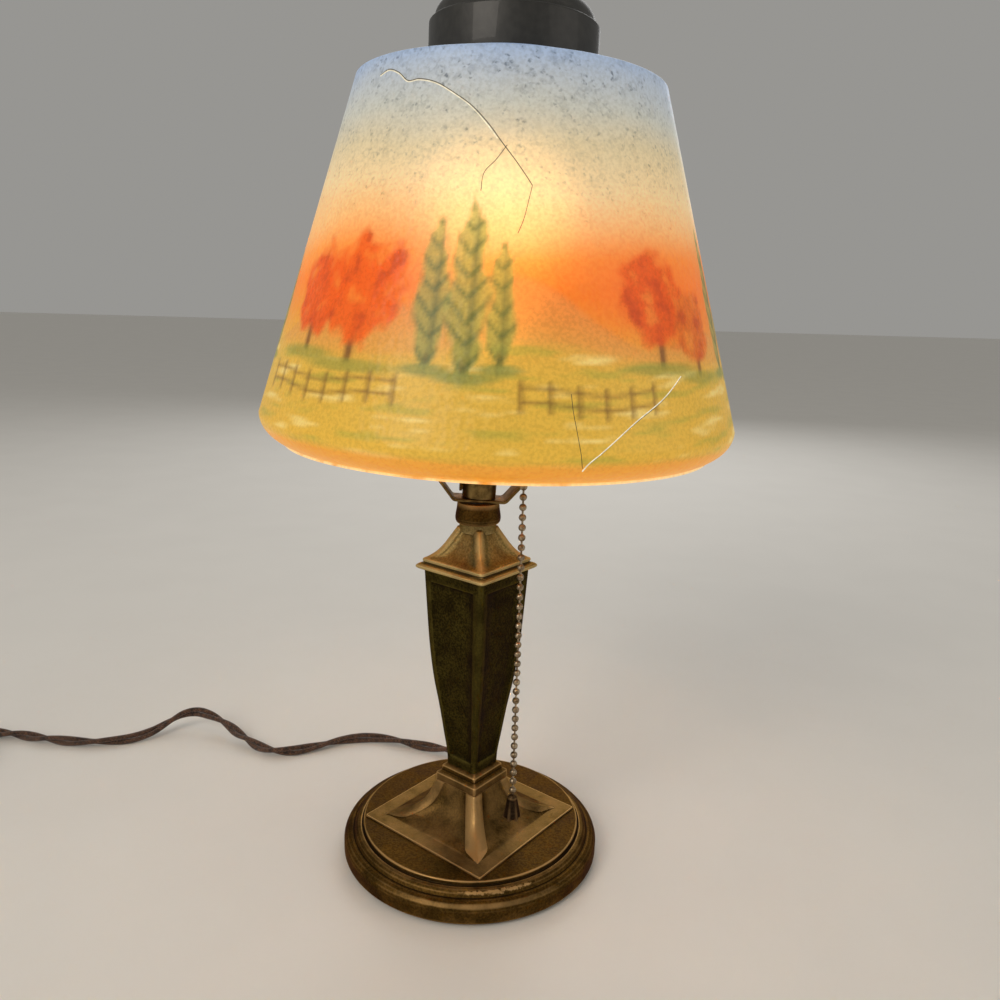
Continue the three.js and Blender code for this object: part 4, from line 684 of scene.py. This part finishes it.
# Column: it tapers downwards, with a sunk panel in each face
COLUMN_LOW, COLUMN_HIGH, COLUMN_CHAMFER = 42.8, 138.7, 0.04
PANEL_LOW, PANEL_HIGH, PANEL_SUNK, PANEL_WALL = 47.5, 133.6, 0.6, 0.6
column_rows = through([
    (12.1, 0), (12.22, 0.033), (14.3, 0.17), (16.65, 0.31), (19.7, 0.47), (21.8, 0.64), (23.1, 0.81),
    (24.4, 1)], 10)
wall_steps = np.linspace(0, PANEL_WALL, 3)
column_rings = []
for z in np.unique(np.concatenate([
        np.linspace(COLUMN_LOW, COLUMN_HIGH, 40), PANEL_LOW + wall_steps, PANEL_HIGH - wall_steps])):
    share = (z - COLUMN_LOW) / (COLUMN_HIGH - COLUMN_LOW)
    half = float(np.interp(share, column_rows[:, 1], column_rows[:, 0]))
    inside = min(z - PANEL_LOW, PANEL_HIGH - z)
    sunk = PANEL_SUNK * min(max(inside / PANEL_WALL, 0), 1)
    column_rings.append(panelled_ring(z, half, COLUMN_CHAMFER, sunk))
piece("column_casting_dressed", lofted(column_rings), stem_bronze, "stand", "column_casting")

# Capital: a square flange, a pyramid with four ribs, and a round stub that carries the collar
PYRAMID_LOW, PYRAMID_RISE, PYRAMID_SUNK = 143.2, 15, 0.8
# Wear and painted shade of the capital, as heights: the flange's top, the ribs' crests, the painted shade
# under the collar, and the collar's bright edge
FLANGE_TOP, CREST_LOW, CREST_HIGH, NECK_SHADE_LOW, BRIGHT_EDGE = 143.6, 143.4, 158, 158.3, 160.6
flange = square_moulding([
    (20, 138.7), (26.6, 138.7), (27.8, 139.4), (27.8, 140.2), (26.8, 140.9), (24.6, 141.2), (24.2, 141.9),
    (24.7, 142.1), (24.7, 143.1), (24.2, 143.5), (20, 143.5)], 0.9, 0.3)
pyramid_rings = []
for half, share in through([(24.2, 0), (21.3, 0.1), (18.2, 0.24), (15.4, 0.43), (12.4, 0.7), (9.2, 1)], 5):
    sunk = PYRAMID_SUNK * min(max((share - 0.06) / 0.05, 0), 1)
    rib = 2.5 + 0.8 * half / 24
    pyramid_rings.append(ribbed_ring(PYRAMID_LOW + PYRAMID_RISE * share, half, rib, sunk, 0.6))
stub = turned(eased([(0, 156), (8.2, 156), (8.2, 161.7), (0, 161.7)], 0.3), 48)


def capital_wear_and_shade(p, stands):
    """Handling wear along the crests of the pyramid's ribs, and painted shade round the neck under the
    collar.
    """
    x, y, z = p.T
    crest = (np.minimum(np.abs(x), np.abs(y)) < 0.8) & (z > CREST_LOW) & (z < CREST_HIGH)
    # The neck above the pyramid is darkened as painted shade under the collar
    return np.where(z > FLANGE_TOP, 0.4 * stands, stands) + 0.5 * crest - 0.45 * (z > NECK_SHADE_LOW)


def collar_rubbed(p, stands):
    """A bright line round the collar's lower edge."""
    return stands + 0.7 * (p[:, 2] < BRIGHT_EDGE)


capital = together(flange, lofted(pyramid_rings), stub)
piece("capital_casting_dressed", capital, capital_bronze, "stand", "capital_casting",
      wear_and_light=capital_wear_and_shade)
collar = turned_eased([
    (5.2, 161.9), (8.5, 161.9), (8.5, 160.2), (9.3, 160), (9.9, 160.9), (10.1, 162.2), (9.95, 163.8),
    (9.5, 166.5), (9.2, 169.3), (5.2, 169.3)], 0.35, 64)
piece("neck_collar_dressed", collar, foot_bronze, "stand", "neck_collar", wear_and_light=collar_rubbed)

# Harp strap: one flat strip bent into a loop, whose top leans to carry the shade
STRAP_FOOT, STRAP_REACH, STRAP_BEND, STRAP_WIDTH, STRAP_THICK = 11.6, 35.4, 29, 13, 1.2
top_rise = STRAP_REACH * math.tan(HEAD_LEAN - SHADE_LEAN)
strap_corners = [
    (-STRAP_FOOT, 0), (STRAP_FOOT, 0), (STRAP_REACH, STRAP_BEND), (STRAP_REACH, STRAP_HEIGHT + top_rise),
    (-STRAP_REACH, STRAP_HEIGHT - top_rise), (-STRAP_REACH, STRAP_BEND)]
STRAP_RADII = [3, 3, 9, 6, 6, 9]


def strap_loop(inset):
    """The strap's loop, set in from its outer face."""
    p = np.array(strap_corners, float)
    corners = []
    for i, corner in enumerate(p):
        ways = [corner - p[i - 1], p[(i + 1) % len(p)] - corner]
        before, after = [np.array((-w[1], w[0])) / np.linalg.norm(w) for w in ways]
        inward = (before + after) / np.linalg.norm(before + after)
        corners.append(corner + inward * inset / np.dot(inward, before))
    rounded = []
    for i, radius in enumerate(STRAP_RADII):
        corner, beside = corners[i], (corners[i - 1], corners[(i + 1) % len(p)])
        ways = [(v - corner) / np.linalg.norm(v - corner) for v in beside]
        half_angle = math.acos(float(np.clip(np.dot(*ways), -1, 1))) / 2
        reach = (radius - inset) / math.tan(half_angle)
        rounded += bend(corner + ways[0] * reach, corner, corner + ways[1] * reach, 8)
    return np.array(rounded)


side = STRAP_WIDTH / 2
strip = eased([(0, -side), (STRAP_THICK, -side), (STRAP_THICK, side), (0, side)], 0.3, closed=True)
strap_rings = []
for outer, inner in zip(strap_loop(0), strap_loop(STRAP_THICK)):
    flat = [(outer + (inner - outer) * depth / STRAP_THICK, along) for depth, along in strip]
    strap_rings.append([(x, along, z) for (x, z), along in flat])
strap = grid(strap_rings, closed_along=True)
piece("harp_strap_dressed", strap, fitting_brass, "stand", "harp_strap", HEAD)

# Socket cap with its hub
socket_bell = through([(7.4, 10), (8.2, 12.4), (12.6, 14.3), (16.9, 16.4), (17.8, 19)], 6)
socket_outline = np.vstack([
    eased([(5.1, 1.5), (7.4, 1.5), (7.4, 9.9)], 0.3), socket_bell,
    [(17.8, 21), (18.2, 21.6), (17.8, 22.2), (17.8, 24.5), (16.9, 24.5)],
    [(16.9, 19.5), (12, 15.6), (6.8, 12.4), (5.1, 10.9)]])
socket_cap = turned(socket_outline, 72, closed=True)
piece("socket_cap_dressed", socket_cap, fitting_brass, "stand", "socket_cap", HEAD)

# Chain guide: a tube from the shell that turns down to a flared mouth, with a rose where it leaves the shell
TUBE_RADIUS, TUBE_BORE, ROSE_AT = 3.1, 2.2, 16.8
guide_line = [(15, 0, CHAIN_HEIGHT), (18, 0, CHAIN_HEIGHT), (20.5, 0, CHAIN_HEIGHT)]
for a in np.linspace(0, math.pi / 2, 10):
    elbow_x = GUIDE_REACH - GUIDE_ELBOW * (1 - math.sin(a))
    guide_line.append((elbow_x, 0, CHAIN_HEIGHT - GUIDE_ELBOW * (1 - math.cos(a))))
guide_line.append((GUIDE_REACH, 0, CHAIN_HEIGHT - GUIDE_ELBOW - 1))
walls = [carried(guide_line, circle(radius, 24)) for radius in (TUBE_RADIUS, TUBE_BORE)]
guide_tube = grid(walls[0] + walls[1][::-1], closed_along=True)
mouth = turned_eased([(4.3, 0), (5.2, 0), (5.0, 0.9), (3.6, 2), (3.1, 3.6), (2.2, 3.6), (2.6, 2)], 0.25, 32)
mouth_low = CHAIN_HEIGHT - GUIDE_ELBOW - 3.6
mouth = (mouth[0] + (GUIDE_REACH, 0, mouth_low), mouth[1])
rose = turned_eased([(2.2, 0), (5.2, 0), (5.2, 0.5), (3.4, 1.3), (2.2, 1.3)], 0.2, 32)
rose = moved(rose, Matrix.Translation((ROSE_AT * MM, 0, CHAIN_HEIGHT * MM)) @ ON_ITS_SIDE)
guide = together(guide_tube, mouth, rose)
piece("chain_guide_dressed", guide, fitting_brass, "stand", "chain_guide", SWITCH)

# Bead chain: a hanging strand, its first bead and the stretch inside the guide
BEAD_PITCH, BEAD_RADIUS, STRAND_BEADS = 4.35, 1.6, 36
INNER_BEADS = (-6.6, -0.65, 3.7, 8.05, 12.4)
strand_foot = -STRAND_BEADS * BEAD_PITCH


def bead(height):
    """A round bead on the strand's axis."""
    angles = np.linspace(-math.pi / 2, math.pi / 2, 9)
    return turned([(BEAD_RADIUS * math.cos(a), height + BEAD_RADIUS * math.sin(a)) for a in angles], 14)


def link(low, high, radius=0.42):
    """The wire that joins the beads, as one rod."""
    return turned([(0, low), (radius, low), (radius, high), (0, high)], 8)


beads = [bead(-(i + 1) * BEAD_PITCH) for i in range(STRAND_BEADS)]
hanging = together(*beads, link(strand_foot - 1.8, -1.9))
piece("pull_chain_beads", hanging, chain_brass, "pull_strand", "pull_chain", PIVOT)
first = together(bead(0), link(0, 3.7))
piece("first_bead_turned", first, chain_brass, "pull_top", "first_bead", PIVOT)
inner = together(*[bead(height) for height in INNER_BEADS], link(-8.4, 14.2))
lying = SWITCH @ Matrix.Translation((0, 0, CHAIN_HEIGHT * MM)) @ ON_ITS_SIDE
piece("inner_chain_beads", inner, chain_brass, "chain_slider", "inner_chain", lying)

# Bell pull with a fluted skirt and a scalloped lip
BELL_HEIGHT, BELL_RADIUS, BELL_FLUTES, BELL_GAP = 11.5, 4, 6, 0.6
# Depth of a flute as a share of the radius and the share of the height at which it ends, and the same of the
# lip's scallops, their rise in mm
FLUTE_DEPTH, FLUTE_END, LIP_RISE, LIP_END = 0.17, 0.82, 0.7, 0.25
bell_low = strand_foot - BEAD_RADIUS - BELL_GAP - BELL_HEIGHT
bell_rows = through([
    (2, 0.13), (3.2, 0.01), (3.9, 0.0), (4, 0.04), (3.84, 0.14), (3.35, 0.35), (2.8, 0.58), (2.3, 0.8),
    (2.2, 0.86), (1.7, 0.93), (0.9, 0.985), (0, 1)], 4)
bell_angles = angles_round(96)
wave = (1 - np.cos(BELL_FLUTES * bell_angles)) / 2
bell_rings = []
for r, share in np.vstack([[(0, 0.13)], bell_rows]):
    fluted = r * (1 - FLUTE_DEPTH * min(max(1 - share / FLUTE_END, 0), 1) * wave)
    lip = LIP_RISE * max(1 - share / LIP_END, 0) * wave * r / BELL_RADIUS
    bell_rings.append(np.stack([
        fluted * np.cos(bell_angles), fluted * np.sin(bell_angles), bell_low + BELL_HEIGHT * share + lip], 1))
piece("pull_bell_dressed", grid(bell_rings), bell_bronze, "pull_strand", "pull_bell", PIVOT)

# Bulb: a blown globe on a neck
GLOBE_RADIUS, GLOBE_MIDDLE = 30, 121
globe = [(GLOBE_RADIUS * math.cos(a), GLOBE_MIDDLE + GLOBE_RADIUS * math.sin(a))
         for a in np.linspace(0.08, math.pi / 2, 16)]
bulb_neck = through([
    (11.9, 61.8), (11.85, 67), (14.4, 76.7), (19.2, 89.7), (25.5, 103.7), (29.1, 114),
    (GLOBE_RADIUS, GLOBE_MIDDLE)], 6)
bulb_outer = np.vstack([bulb_neck, globe])
bulb_inner = bulb_outer[::-1] - (0.8, 0.4)
bulb_inner[:, 0] = np.maximum(bulb_inner[:, 0], 0)
bulb_shape = turned(np.vstack([bulb_outer, bulb_inner]), 64, closed=True)
piece("bulb_glass_blown", bulb_shape, frosted, "bulb", "bulb_glass", HEAD)

# Stack on the seat: disc, gasket, glass and cap, with a little play between them
PLAY, DISC_THICK, GASKET_THICK, SHADE_WALL = 0.3, 1.5, 1.2, 3
glass_top = 3 * PLAY + DISC_THICK + GASKET_THICK + SHADE_WALL

# Shade cap: an upright band and a dome with a hole for the stud
BAND_HEIGHT, DOME_LIFT, DOME_RISE, DOME_FLAT, DOME_REACH = 15.4, 0.7, 9.6, 18, 13.6
cap_low = glass_top + PLAY
band_top = cap_low + BAND_HEIGHT
dome = [(DOME_FLAT + DOME_REACH * math.cos(a), band_top + DOME_LIFT + DOME_RISE * math.sin(a))
        for a in np.linspace(0, math.pi / 2, 14)]
cap_band = eased([
    (32.6, cap_low), (33.6, cap_low), (33.6, band_top - 0.6), (33, band_top), (31.9, band_top + 0.3),
    dome[0]], 0.35)
cap_outline = np.vstack([
    cap_band, dome[1:], [(3.2, band_top + 12.1), (3.2, band_top + 11.1)],
    [(DOME_FLAT, band_top + 9.3), (26, band_top + 6.6), (30.6, band_top - 1), (32.6, band_top - 1.6)]])
shade_cap = turned(cap_outline, 96, closed=True)
piece("shade_cap_dressed", shade_cap, cap_paint, "shade", "shade_cap", SEAT)

# Finial: a turned knob, threaded from below
FINIAL_HEIGHT, FINIAL_BORE = 20, 13
finial_low = band_top + DOME_LIFT + DOME_RISE + 1.8 + PLAY
finial_rows = through([
    (6.5, 0.07), (5.6, 0.12), (4.05, 0.17), (3.9, 0.25), (5.0, 0.34), (6.4, 0.5), (6.4, 0.66), (4.7, 0.82),
    (2.1, 0.92), (1.7, 0.97), (0, 1)], 5)
finial_outline = np.vstack([
    [(0, FINIAL_BORE), (2.9, FINIAL_BORE), (2.9, 0), (6.5, 0)], finial_rows * (1, FINIAL_HEIGHT)])
finial = turned(finial_outline + (0, finial_low), 64)
piece("finial_dressed", finial, foot_bronze, "finial", "finial", SEAT)

# Plug: round moulded body on its side, on the end of the cord
plug_outline = np.vstack([
    [(0, PLUG_BORE), (3.2, PLUG_BORE), (3.2, 0.3)],
    eased([(3.2, 0), (6.4, 0), (6.4, 8)], 0.5)[1:],
    through([(6.4, 8), (6.6, 12), (8.2, 15.6), (11.4, 17.6), (PLUG_RADIUS, 18)], 4)[1:],
    eased([(PLUG_RADIUS, 18), (PLUG_RADIUS, 20), (14.5, 20.5), (14.5, 21.5), (PLUG_RADIUS, 22),
           (PLUG_RADIUS, 27), (12.9, 27), (12.9, 25), (0, 25)], 0.4)[1:],
])
plug_place = Matrix.Translation(Vector(plug_face) * MM) @ Matrix.Rotation(math.pi / 2, 4, "X")
plug = piece("plug_body_moulded", turned(plug_outline), phenolic, "stand", "plug_body",
             plug_place)

# Glass shade: a fine lathe, whose painting is written to its points
SHADE_HEIGHT, BELLY_RADIUS, SHOULDER_RADIUS, SHOULDER_DROP = 148.8, 99.3, 61.3, 6.6
CURL_REACH, CURL_HEIGHT, CROWN_RADIUS, HOLE_RADIUS = 16.3, 12.4, 38, 26.4
# The wall leans, so its thickness reaches this much further when measured level
WALL_SLANT = 1.042
SHADE_COLUMNS, CURL_STEPS, WALL_STEPS = 480, 14, 122
rim_low = glass_top - SHADE_HEIGHT


def shade_outline(inset, curl_steps, wall_steps, crown_steps):
    """The wall's outline from the rim to the hole, set in from the outer face."""
    angles = np.radians(np.linspace(-62, 0, curl_steps))
    curl = np.stack([BELLY_RADIUS - CURL_REACH + (CURL_REACH - inset) * np.cos(angles),
                     rim_low + CURL_HEIGHT + (CURL_HEIGHT - inset) * np.sin(angles)], 1)
    shoulder = np.array([SHOULDER_RADIUS - inset * WALL_SLANT, glass_top - SHOULDER_DROP - inset])
    wall = [curl[-1] + (shoulder - curl[-1]) * t for t in np.linspace(0, 1, wall_steps)[1:-1]]
    crown = [(r, glass_top - inset) for r in np.linspace(CROWN_RADIUS, HOLE_RADIUS, crown_steps)]
    turn = eased([wall[-1], shoulder, crown[0]], 3.2, 5)[1:-1]
    return np.vstack([curl, wall, turn, crown])


outer_line = shade_outline(0, CURL_STEPS, WALL_STEPS, 6)
inner_line = shade_outline(SHADE_WALL, 5, 10, 2)
ground_edge = [(inner_line[0][0] + 0.6, rim_low + 0.1), (BELLY_RADIUS - 12.2, rim_low),
               (BELLY_RADIUS - 11, rim_low + 0.05)]
shade_line = np.vstack([inner_line[::-1], ground_edge, outer_line])
shade_shape = turned(shade_line, SHADE_COLUMNS, closed=True)
shade_points = shade_shape[0]

# Of each point: radius, azimuth in degrees, height above the rim in mm and as a share, and mm round the wall
radius_of = np.hypot(shade_points[:, 0], shade_points[:, 1])
phi = np.degrees(np.arctan2(shade_points[:, 1], shade_points[:, 0]))
mm_up = shade_points[:, 2] - rim_low
level = mm_up / SHADE_HEIGHT
around_mm = np.radians(phi) * 80

# Ground of the painting, from the rim to the top: amber, meadow, sunset and a greying sky. Its pale cream
# band between 0.57 and 0.65 is partly the painting's own colour and partly painted light of the bulb shining
# through
SKY = [
    (0.0, "#F4AC3E"), (0.035, "#EC9A28"), (0.06, "#D8A436"), (0.12, "#D3A63E"), (0.22, "#D2A742"),
    (0.30, "#D8A03C"), (0.36, "#E08E2E"), (0.44, "#EA7F26"), (0.51, "#EA9440"), (0.57, "#E6B474"),
    (0.65, "#DFC494"), (0.74, "#CCBC98"), (0.83, "#B8B8AE"), (0.92, "#A8B1BC"), (1.0, "#8CA4C8")]
sky_levels = [place for place, _ in SKY]
sky_colours = np.array([linear(code)[:3] for _, code in SKY])
uneven = level + 0.018 * ripple(around_mm, mm_up * 2, 70, 3)
painting = np.stack([np.interp(uneven, sky_levels, channel) for channel in sky_colours.T], 1)


def brush(mask, code, strength=1.0):
    """Lays a colour over the painting where the mask is."""
    share = np.clip(mask, 0, 1)[:, None] * strength
    painting[:] = painting * (1 - share) + np.array(linear(code)[:3]) * share


def away(centre):
    """Distance along the wall from an azimuth in degrees, in mm."""
    return ((phi - centre + 180) % 360 - 180) * math.pi / 180 * radius_of


def soft(distance, width):
    """One inside a line, nothing outside it, and a change over the width."""
    return np.clip(0.5 - distance / width, 0, 1)


# Glow of the low sun behind the hills, deepest at a few places: azimuth, width in mm and strength
SUN_HEIGHT, SUN_SPREAD = 66, 17
GLOWS = [(-62, 34, 0.85), (-128, 26, 0.6), (-20, 30, 0.7), (60, 40, 0.8), (140, 36, 0.7), (15, 20, 0.5)]
for centre, wide, strength in GLOWS:
    spot = np.exp(-(away(centre) / wide) ** 2 - ((mm_up - SUN_HEIGHT) / SUN_SPREAD) ** 2)
    brush(spot, "#E8702A", strength)

# Hills, meadow and its strokes, green and straw
HILL_HEIGHT, MEADOW_HEIGHT, BAND_TOP = 55, 42, 9
hill_line = HILL_HEIGHT + 9 * np.sin(np.radians(phi * 3 + 40)) + 5 * np.sin(np.radians(phi * 7 + 10))
hill_edge = 0.6 + 0.4 * ripple(around_mm, mm_up, 9, 5)
brush(soft(np.abs(mm_up - hill_line) - 0.4, 2.2) * hill_edge, "#B06A38", 0.5)
brush(soft(mm_up - hill_line, 3) * soft(40 - mm_up, 8), "#C98A4E", 0.45)
meadow_line = MEADOW_HEIGHT + 3.5 * np.sin(np.radians(phi * 4 + 100)) + 1.5 * ripple(around_mm, mm_up, 30, 6)
brush(soft(mm_up - meadow_line, 5) * soft(6 - mm_up, 4), "#CFA842", 0.7)
meadow = 1.6 * soft(mm_up - meadow_line, 4) * soft(8 - mm_up, 6)
strokes = ripple(around_mm * 0.45, mm_up * 2.2, 9, 8)
brush(np.clip(strokes - 0.35, 0, 1) * meadow, "#A39A3C", 0.6)
brush(np.clip(-strokes - 0.55, 0, 1) * meadow, "#E6CC7C", 0.8)


def round_tree(centre, foot, width, height, crown):
    """A round autumn crown on a short trunk."""
    x, y = away(centre), mm_up - foot
    rough = 0.16 * ripple(x * 1.3 + centre * 7, y * 1.3, 10, int(centre * 3) % 97)
    r = np.hypot(x / (width / 2), (y - height * 0.62) / (height * 0.42)) + rough
    trunk = soft(np.abs(x) - width * 0.035 - 0.5, 1.6) * soft(-y, 2) * soft(y - height * 0.5, 3)
    brush(trunk, "#6B4526", 0.85)
    brush(soft(r - 1, 0.28), crown, 0.92)
    dabs = ripple(x + 11, y, 7, int(centre * 5) % 89)
    brush(soft(r - 0.98, 0.2) * np.clip(dabs - 0.25, 0, 1) * 1.5, "#B0401A", 0.6)
    brush(soft(r - 0.9, 0.3) * np.clip(-dabs - 0.3, 0, 1) * 1.5, "#F09A3C", 0.35)
    brush(soft(np.hypot(x / (width * 0.6), (y + 0.5) / 2.2) - 1, 0.6), "#8A8A3C", 0.7)


def slender_tree(centre, foot, width, height):
    """A slender dark-green tree, drawn in upright strokes."""
    x, y = away(centre), mm_up - foot
    share = np.clip(y / height, 0, 1)
    half = width / 2 * np.sin(np.pi * np.clip(share, 0.02, 0.98) ** 0.75) ** 0.8
    wobble = 0.9 * ripple(x * 1.5, y * 0.8 + centre, 8, int(centre * 7) % 83)
    inside = soft(np.abs(x) - half + wobble, 1.8) * soft(-y, 2) * soft(y - height, 2)
    brush(inside, "#8A8C42", 0.8)
    sprays = np.sin(0.85 * y - 0.9 * np.abs(x) + 0.8 * ripple(x, y, 16, 31)) - 0.1
    brush(inside * np.clip(sprays, 0, 1), "#4C5A30", 0.75)
    brush(inside * soft(np.abs(x - 0.12 * width) - 0.2 * half, 1.5), "#3D4B2A", 0.5)
    brush(soft(np.abs(x) - 0.5, 1.4) * soft(-y - 3, 2) * soft(y - 5, 3), "#4A3A22", 0.8)
    brush(soft(np.hypot(x / (width * 0.8), (y + 1) / 2) - 1, 0.6), "#7E8440", 0.8)


# Trees: azimuth in degrees, then height of the foot, width and height in mm
ROUND_TREES = [
    (-146, 40, 26, 34, "#D65218"), (-131, 37, 34, 40, "#DE5A18"), (-58, 40, 30, 36, "#D25216"),
    (-44, 37, 22, 28, "#CC6420"), (10, 38, 30, 36, "#D9642A"), (26, 41, 22, 28, "#C96C30"),
    (88, 38, 34, 40, "#D4602A"), (104, 41, 24, 30, "#D8742E"), (150, 39, 28, 34, "#CE6A2E")]
SLENDER_TREES = [
    (-112, 38, 11, 48), (-104, 36, 13, 58), (-96.5, 39, 9, 40), (-28, 38, 12, 52), (-20, 36, 10, 42),
    (48, 38, 12, 54), (56, 37, 10, 44), (64, 39, 9, 38), (128, 37, 12, 52), (178, 38, 12, 50),
    (-170, 37, 9, 40)]
for tree in ROUND_TREES:
    round_tree(*tree)
for tree in SLENDER_TREES:
    slender_tree(*tree)

# A low rail fence on posts through the meadow, from one azimuth to another
FENCES = [(-92, -62), (-160, -118), (66, 96), (-8, 22), (150, 176)]
RAIL_HEIGHTS, POST_FOOT, POST_TOP, POST_GAP = (27.5, 32), 24, 34.5, 6
sag = 1.1 * np.sin(np.radians(phi * 11))
for start, end in FENCES:
    within = soft(start - phi, 0.6) * soft(phi - end, 0.6)
    for rail in RAIL_HEIGHTS:
        brush(within * soft(np.abs(mm_up - rail - sag) - 0.5, 1.1), "#7A5A2E", 0.7)
    for post in np.arange(start, end + 1, POST_GAP):
        upright = soft(POST_FOOT - mm_up + sag, 1.5) * soft(mm_up - POST_TOP - sag, 1.5)
        brush(soft(np.abs(away(post)) - 0.7, 1.2) * upright, "#6E4F28", 0.8)

# The amber band, its edge, and the bright, chipped line of the ground rim
brush(soft(mm_up - 8.4 - 0.4 * ripple(around_mm, mm_up * 0, 18, 12), 1.6), "#DB9638", 0.9)
brush(soft(np.abs(mm_up - BAND_TOP) - 0.2, 1.3), "#B9853A", 0.5)
brush(soft(mm_up - 0.5 - 0.5 * ripple(around_mm, mm_up * 0, 6, 14), 0.7), "#FFE2A4", 0.8)
# The bulb shines most through the middle and the rim
middle_light = 0.05 * np.exp(-((level - 0.6) / 0.22) ** 2)
rim_light = 0.08 * np.exp(-((level - 0.02) / 0.05) ** 2)
painting *= (0.75 + middle_light + rim_light)[:, None]

shade = piece("glass_shade_painted", shade_shape, outer_glass, "shade", "glass_shade",
              SEAT)
write_points(shade.data, "painting", "FLOAT_COLOR", np.hstack([painting, np.ones((len(painting), 1))]))
write_points(shade.data, "stained", "FLOAT", np.clip((level - 0.5) / 0.4, 0, 1) ** 0.8)
shade.data.materials.append(inner_glass)
inner_count = (len(inner_line) - 1) * SHADE_COLUMNS
outer_count = len(shade.data.polygons) - inner_count
shade.data.polygons.foreach_set("material_index", [1] * inner_count + [0] * outer_count)

# Fine cracks in the glass, drawn as hair-thin ridges on its face, through azimuths and heights above the rim
CRACKS = [
    ("glass_crack_long", 0.16, dark_edge, [
        (-143, 135), (-139, 136.3), (-134, 134.5), (-129.5, 131.3), (-125.5, 131.5), (-119.5, 130),
        (-112.8, 126), (-107.5, 122), (-102.2, 116), (-98.5, 110.5), (-94.8, 105), (-91.8, 100),
        (-90.2, 97)]),
    ("glass_crack_long_lit", 0.22, lit_edge, [
        (-143, 134.6), (-139, 135.9), (-134, 134.1), (-129.5, 130.9), (-125.5, 131.1), (-119.5, 129.6),
        (-112.8, 125.6), (-107.6, 121.6), (-102.5, 115.6), (-99.6, 111.4)]),
    ("glass_crack_loop", 0.12, dark_edge, [(-90.2, 97), (-91, 92.5), (-92.2, 86), (-93.5, 81.5)]),
    ("glass_crack_branch", 0.12, dark_edge, [(-97, 109.5), (-99.8, 104.5), (-102.5, 100.5), (-103, 94.5)]),
    ("glass_crack_right", 0.22, lit_edge, [
        (-52.8, 37), (-59.3, 30), (-67.2, 23), (-73.8, 15.5), (-78.5, 9.5), (-79.8, 7)]),
    ("glass_crack_right_shaded", 0.14, dark_edge, [
        (-53.2, 36.4), (-59.7, 29.4), (-67.6, 22.4), (-74.2, 14.9), (-78.9, 8.9)]),
    ("glass_crack_upright", 0.12, dark_edge, [(-79.8, 8), (-80.8, 19), (-81.5, 26), (-81.8, 31.5)]),
]
glass_face = outer_line[CURL_STEPS - 1:CURL_STEPS + WALL_STEPS - 2]
for name, width, finish, rows in CRACKS:
    path = []
    for azimuth, height in through(rows, 8):
        a, z = math.radians(azimuth), height + rim_low
        r = float(np.interp(z, glass_face[:, 1], glass_face[:, 0]))
        path.append((r * math.cos(a), r * math.sin(a), z))
    piece(name, lofted(carried(path, circle(width, 6))), finish, "shade", place=SEAT)

# Pale floor, soft light and the lit bulb
FLOOR_HALF = 9
corners = [(-FLOOR_HALF, -FLOOR_HALF, 0), (FLOOR_HALF, -FLOOR_HALF, 0), (FLOOR_HALF, FLOOR_HALF, 0),
           (-FLOOR_HALF, FLOOR_HALF, 0)]
floor_mesh = bpy.data.meshes.new("studio_floor")
floor_mesh.from_pydata(corners, [], [(0, 1, 2, 3)])
floor_mesh.materials.append(floor_paper)
floor = bpy.data.objects.new("studio_floor", floor_mesh)
bpy.context.collection.objects.link(floor)

LAMP_MIDDLE, BULB_MIDDLE = Vector((0, 0, 0.18)), HEAD @ Vector((0, 0, 0.118))
LIGHTS = [
    ("key_left", "AREA", (-0.9, -0.9, 0.9), 9, "#FFF6EA", 0.8),
    ("fill_right", "AREA", (1.1, -0.6, 0.6), 2.2, "#FFF6EA", 1.0),
    ("back_soft", "AREA", (0.3, 1.2, 0.9), 5, "#FFFFFF", 1.0),
    ("bulb_glow", "POINT", BULB_MIDDLE, 1.1, "#FFF2DC", 0.011),
]
for name, kind, place, watts, colour, size in LIGHTS:
    data = bpy.data.lights.new(name, kind)
    data.energy = watts
    data.color = linear(colour)[:3]
    if kind == "AREA":
        data.size = size
    else:
        data.shadow_soft_size = size
    light = bpy.data.objects.new(name, data)
    light.location = place
    light.rotation_euler = (LAMP_MIDDLE - Vector(place)).to_track_quat("-Z", "Y").to_euler()
    bpy.context.collection.objects.link(light)
world = bpy.data.worlds.new("studio")
bpy.context.scene.world = world
world.use_nodes = True
world.node_tree.nodes["Background"].inputs["Color"].default_value = linear("#E9E7E2")
world.node_tree.nodes["Background"].inputs["Strength"].default_value = 0.38
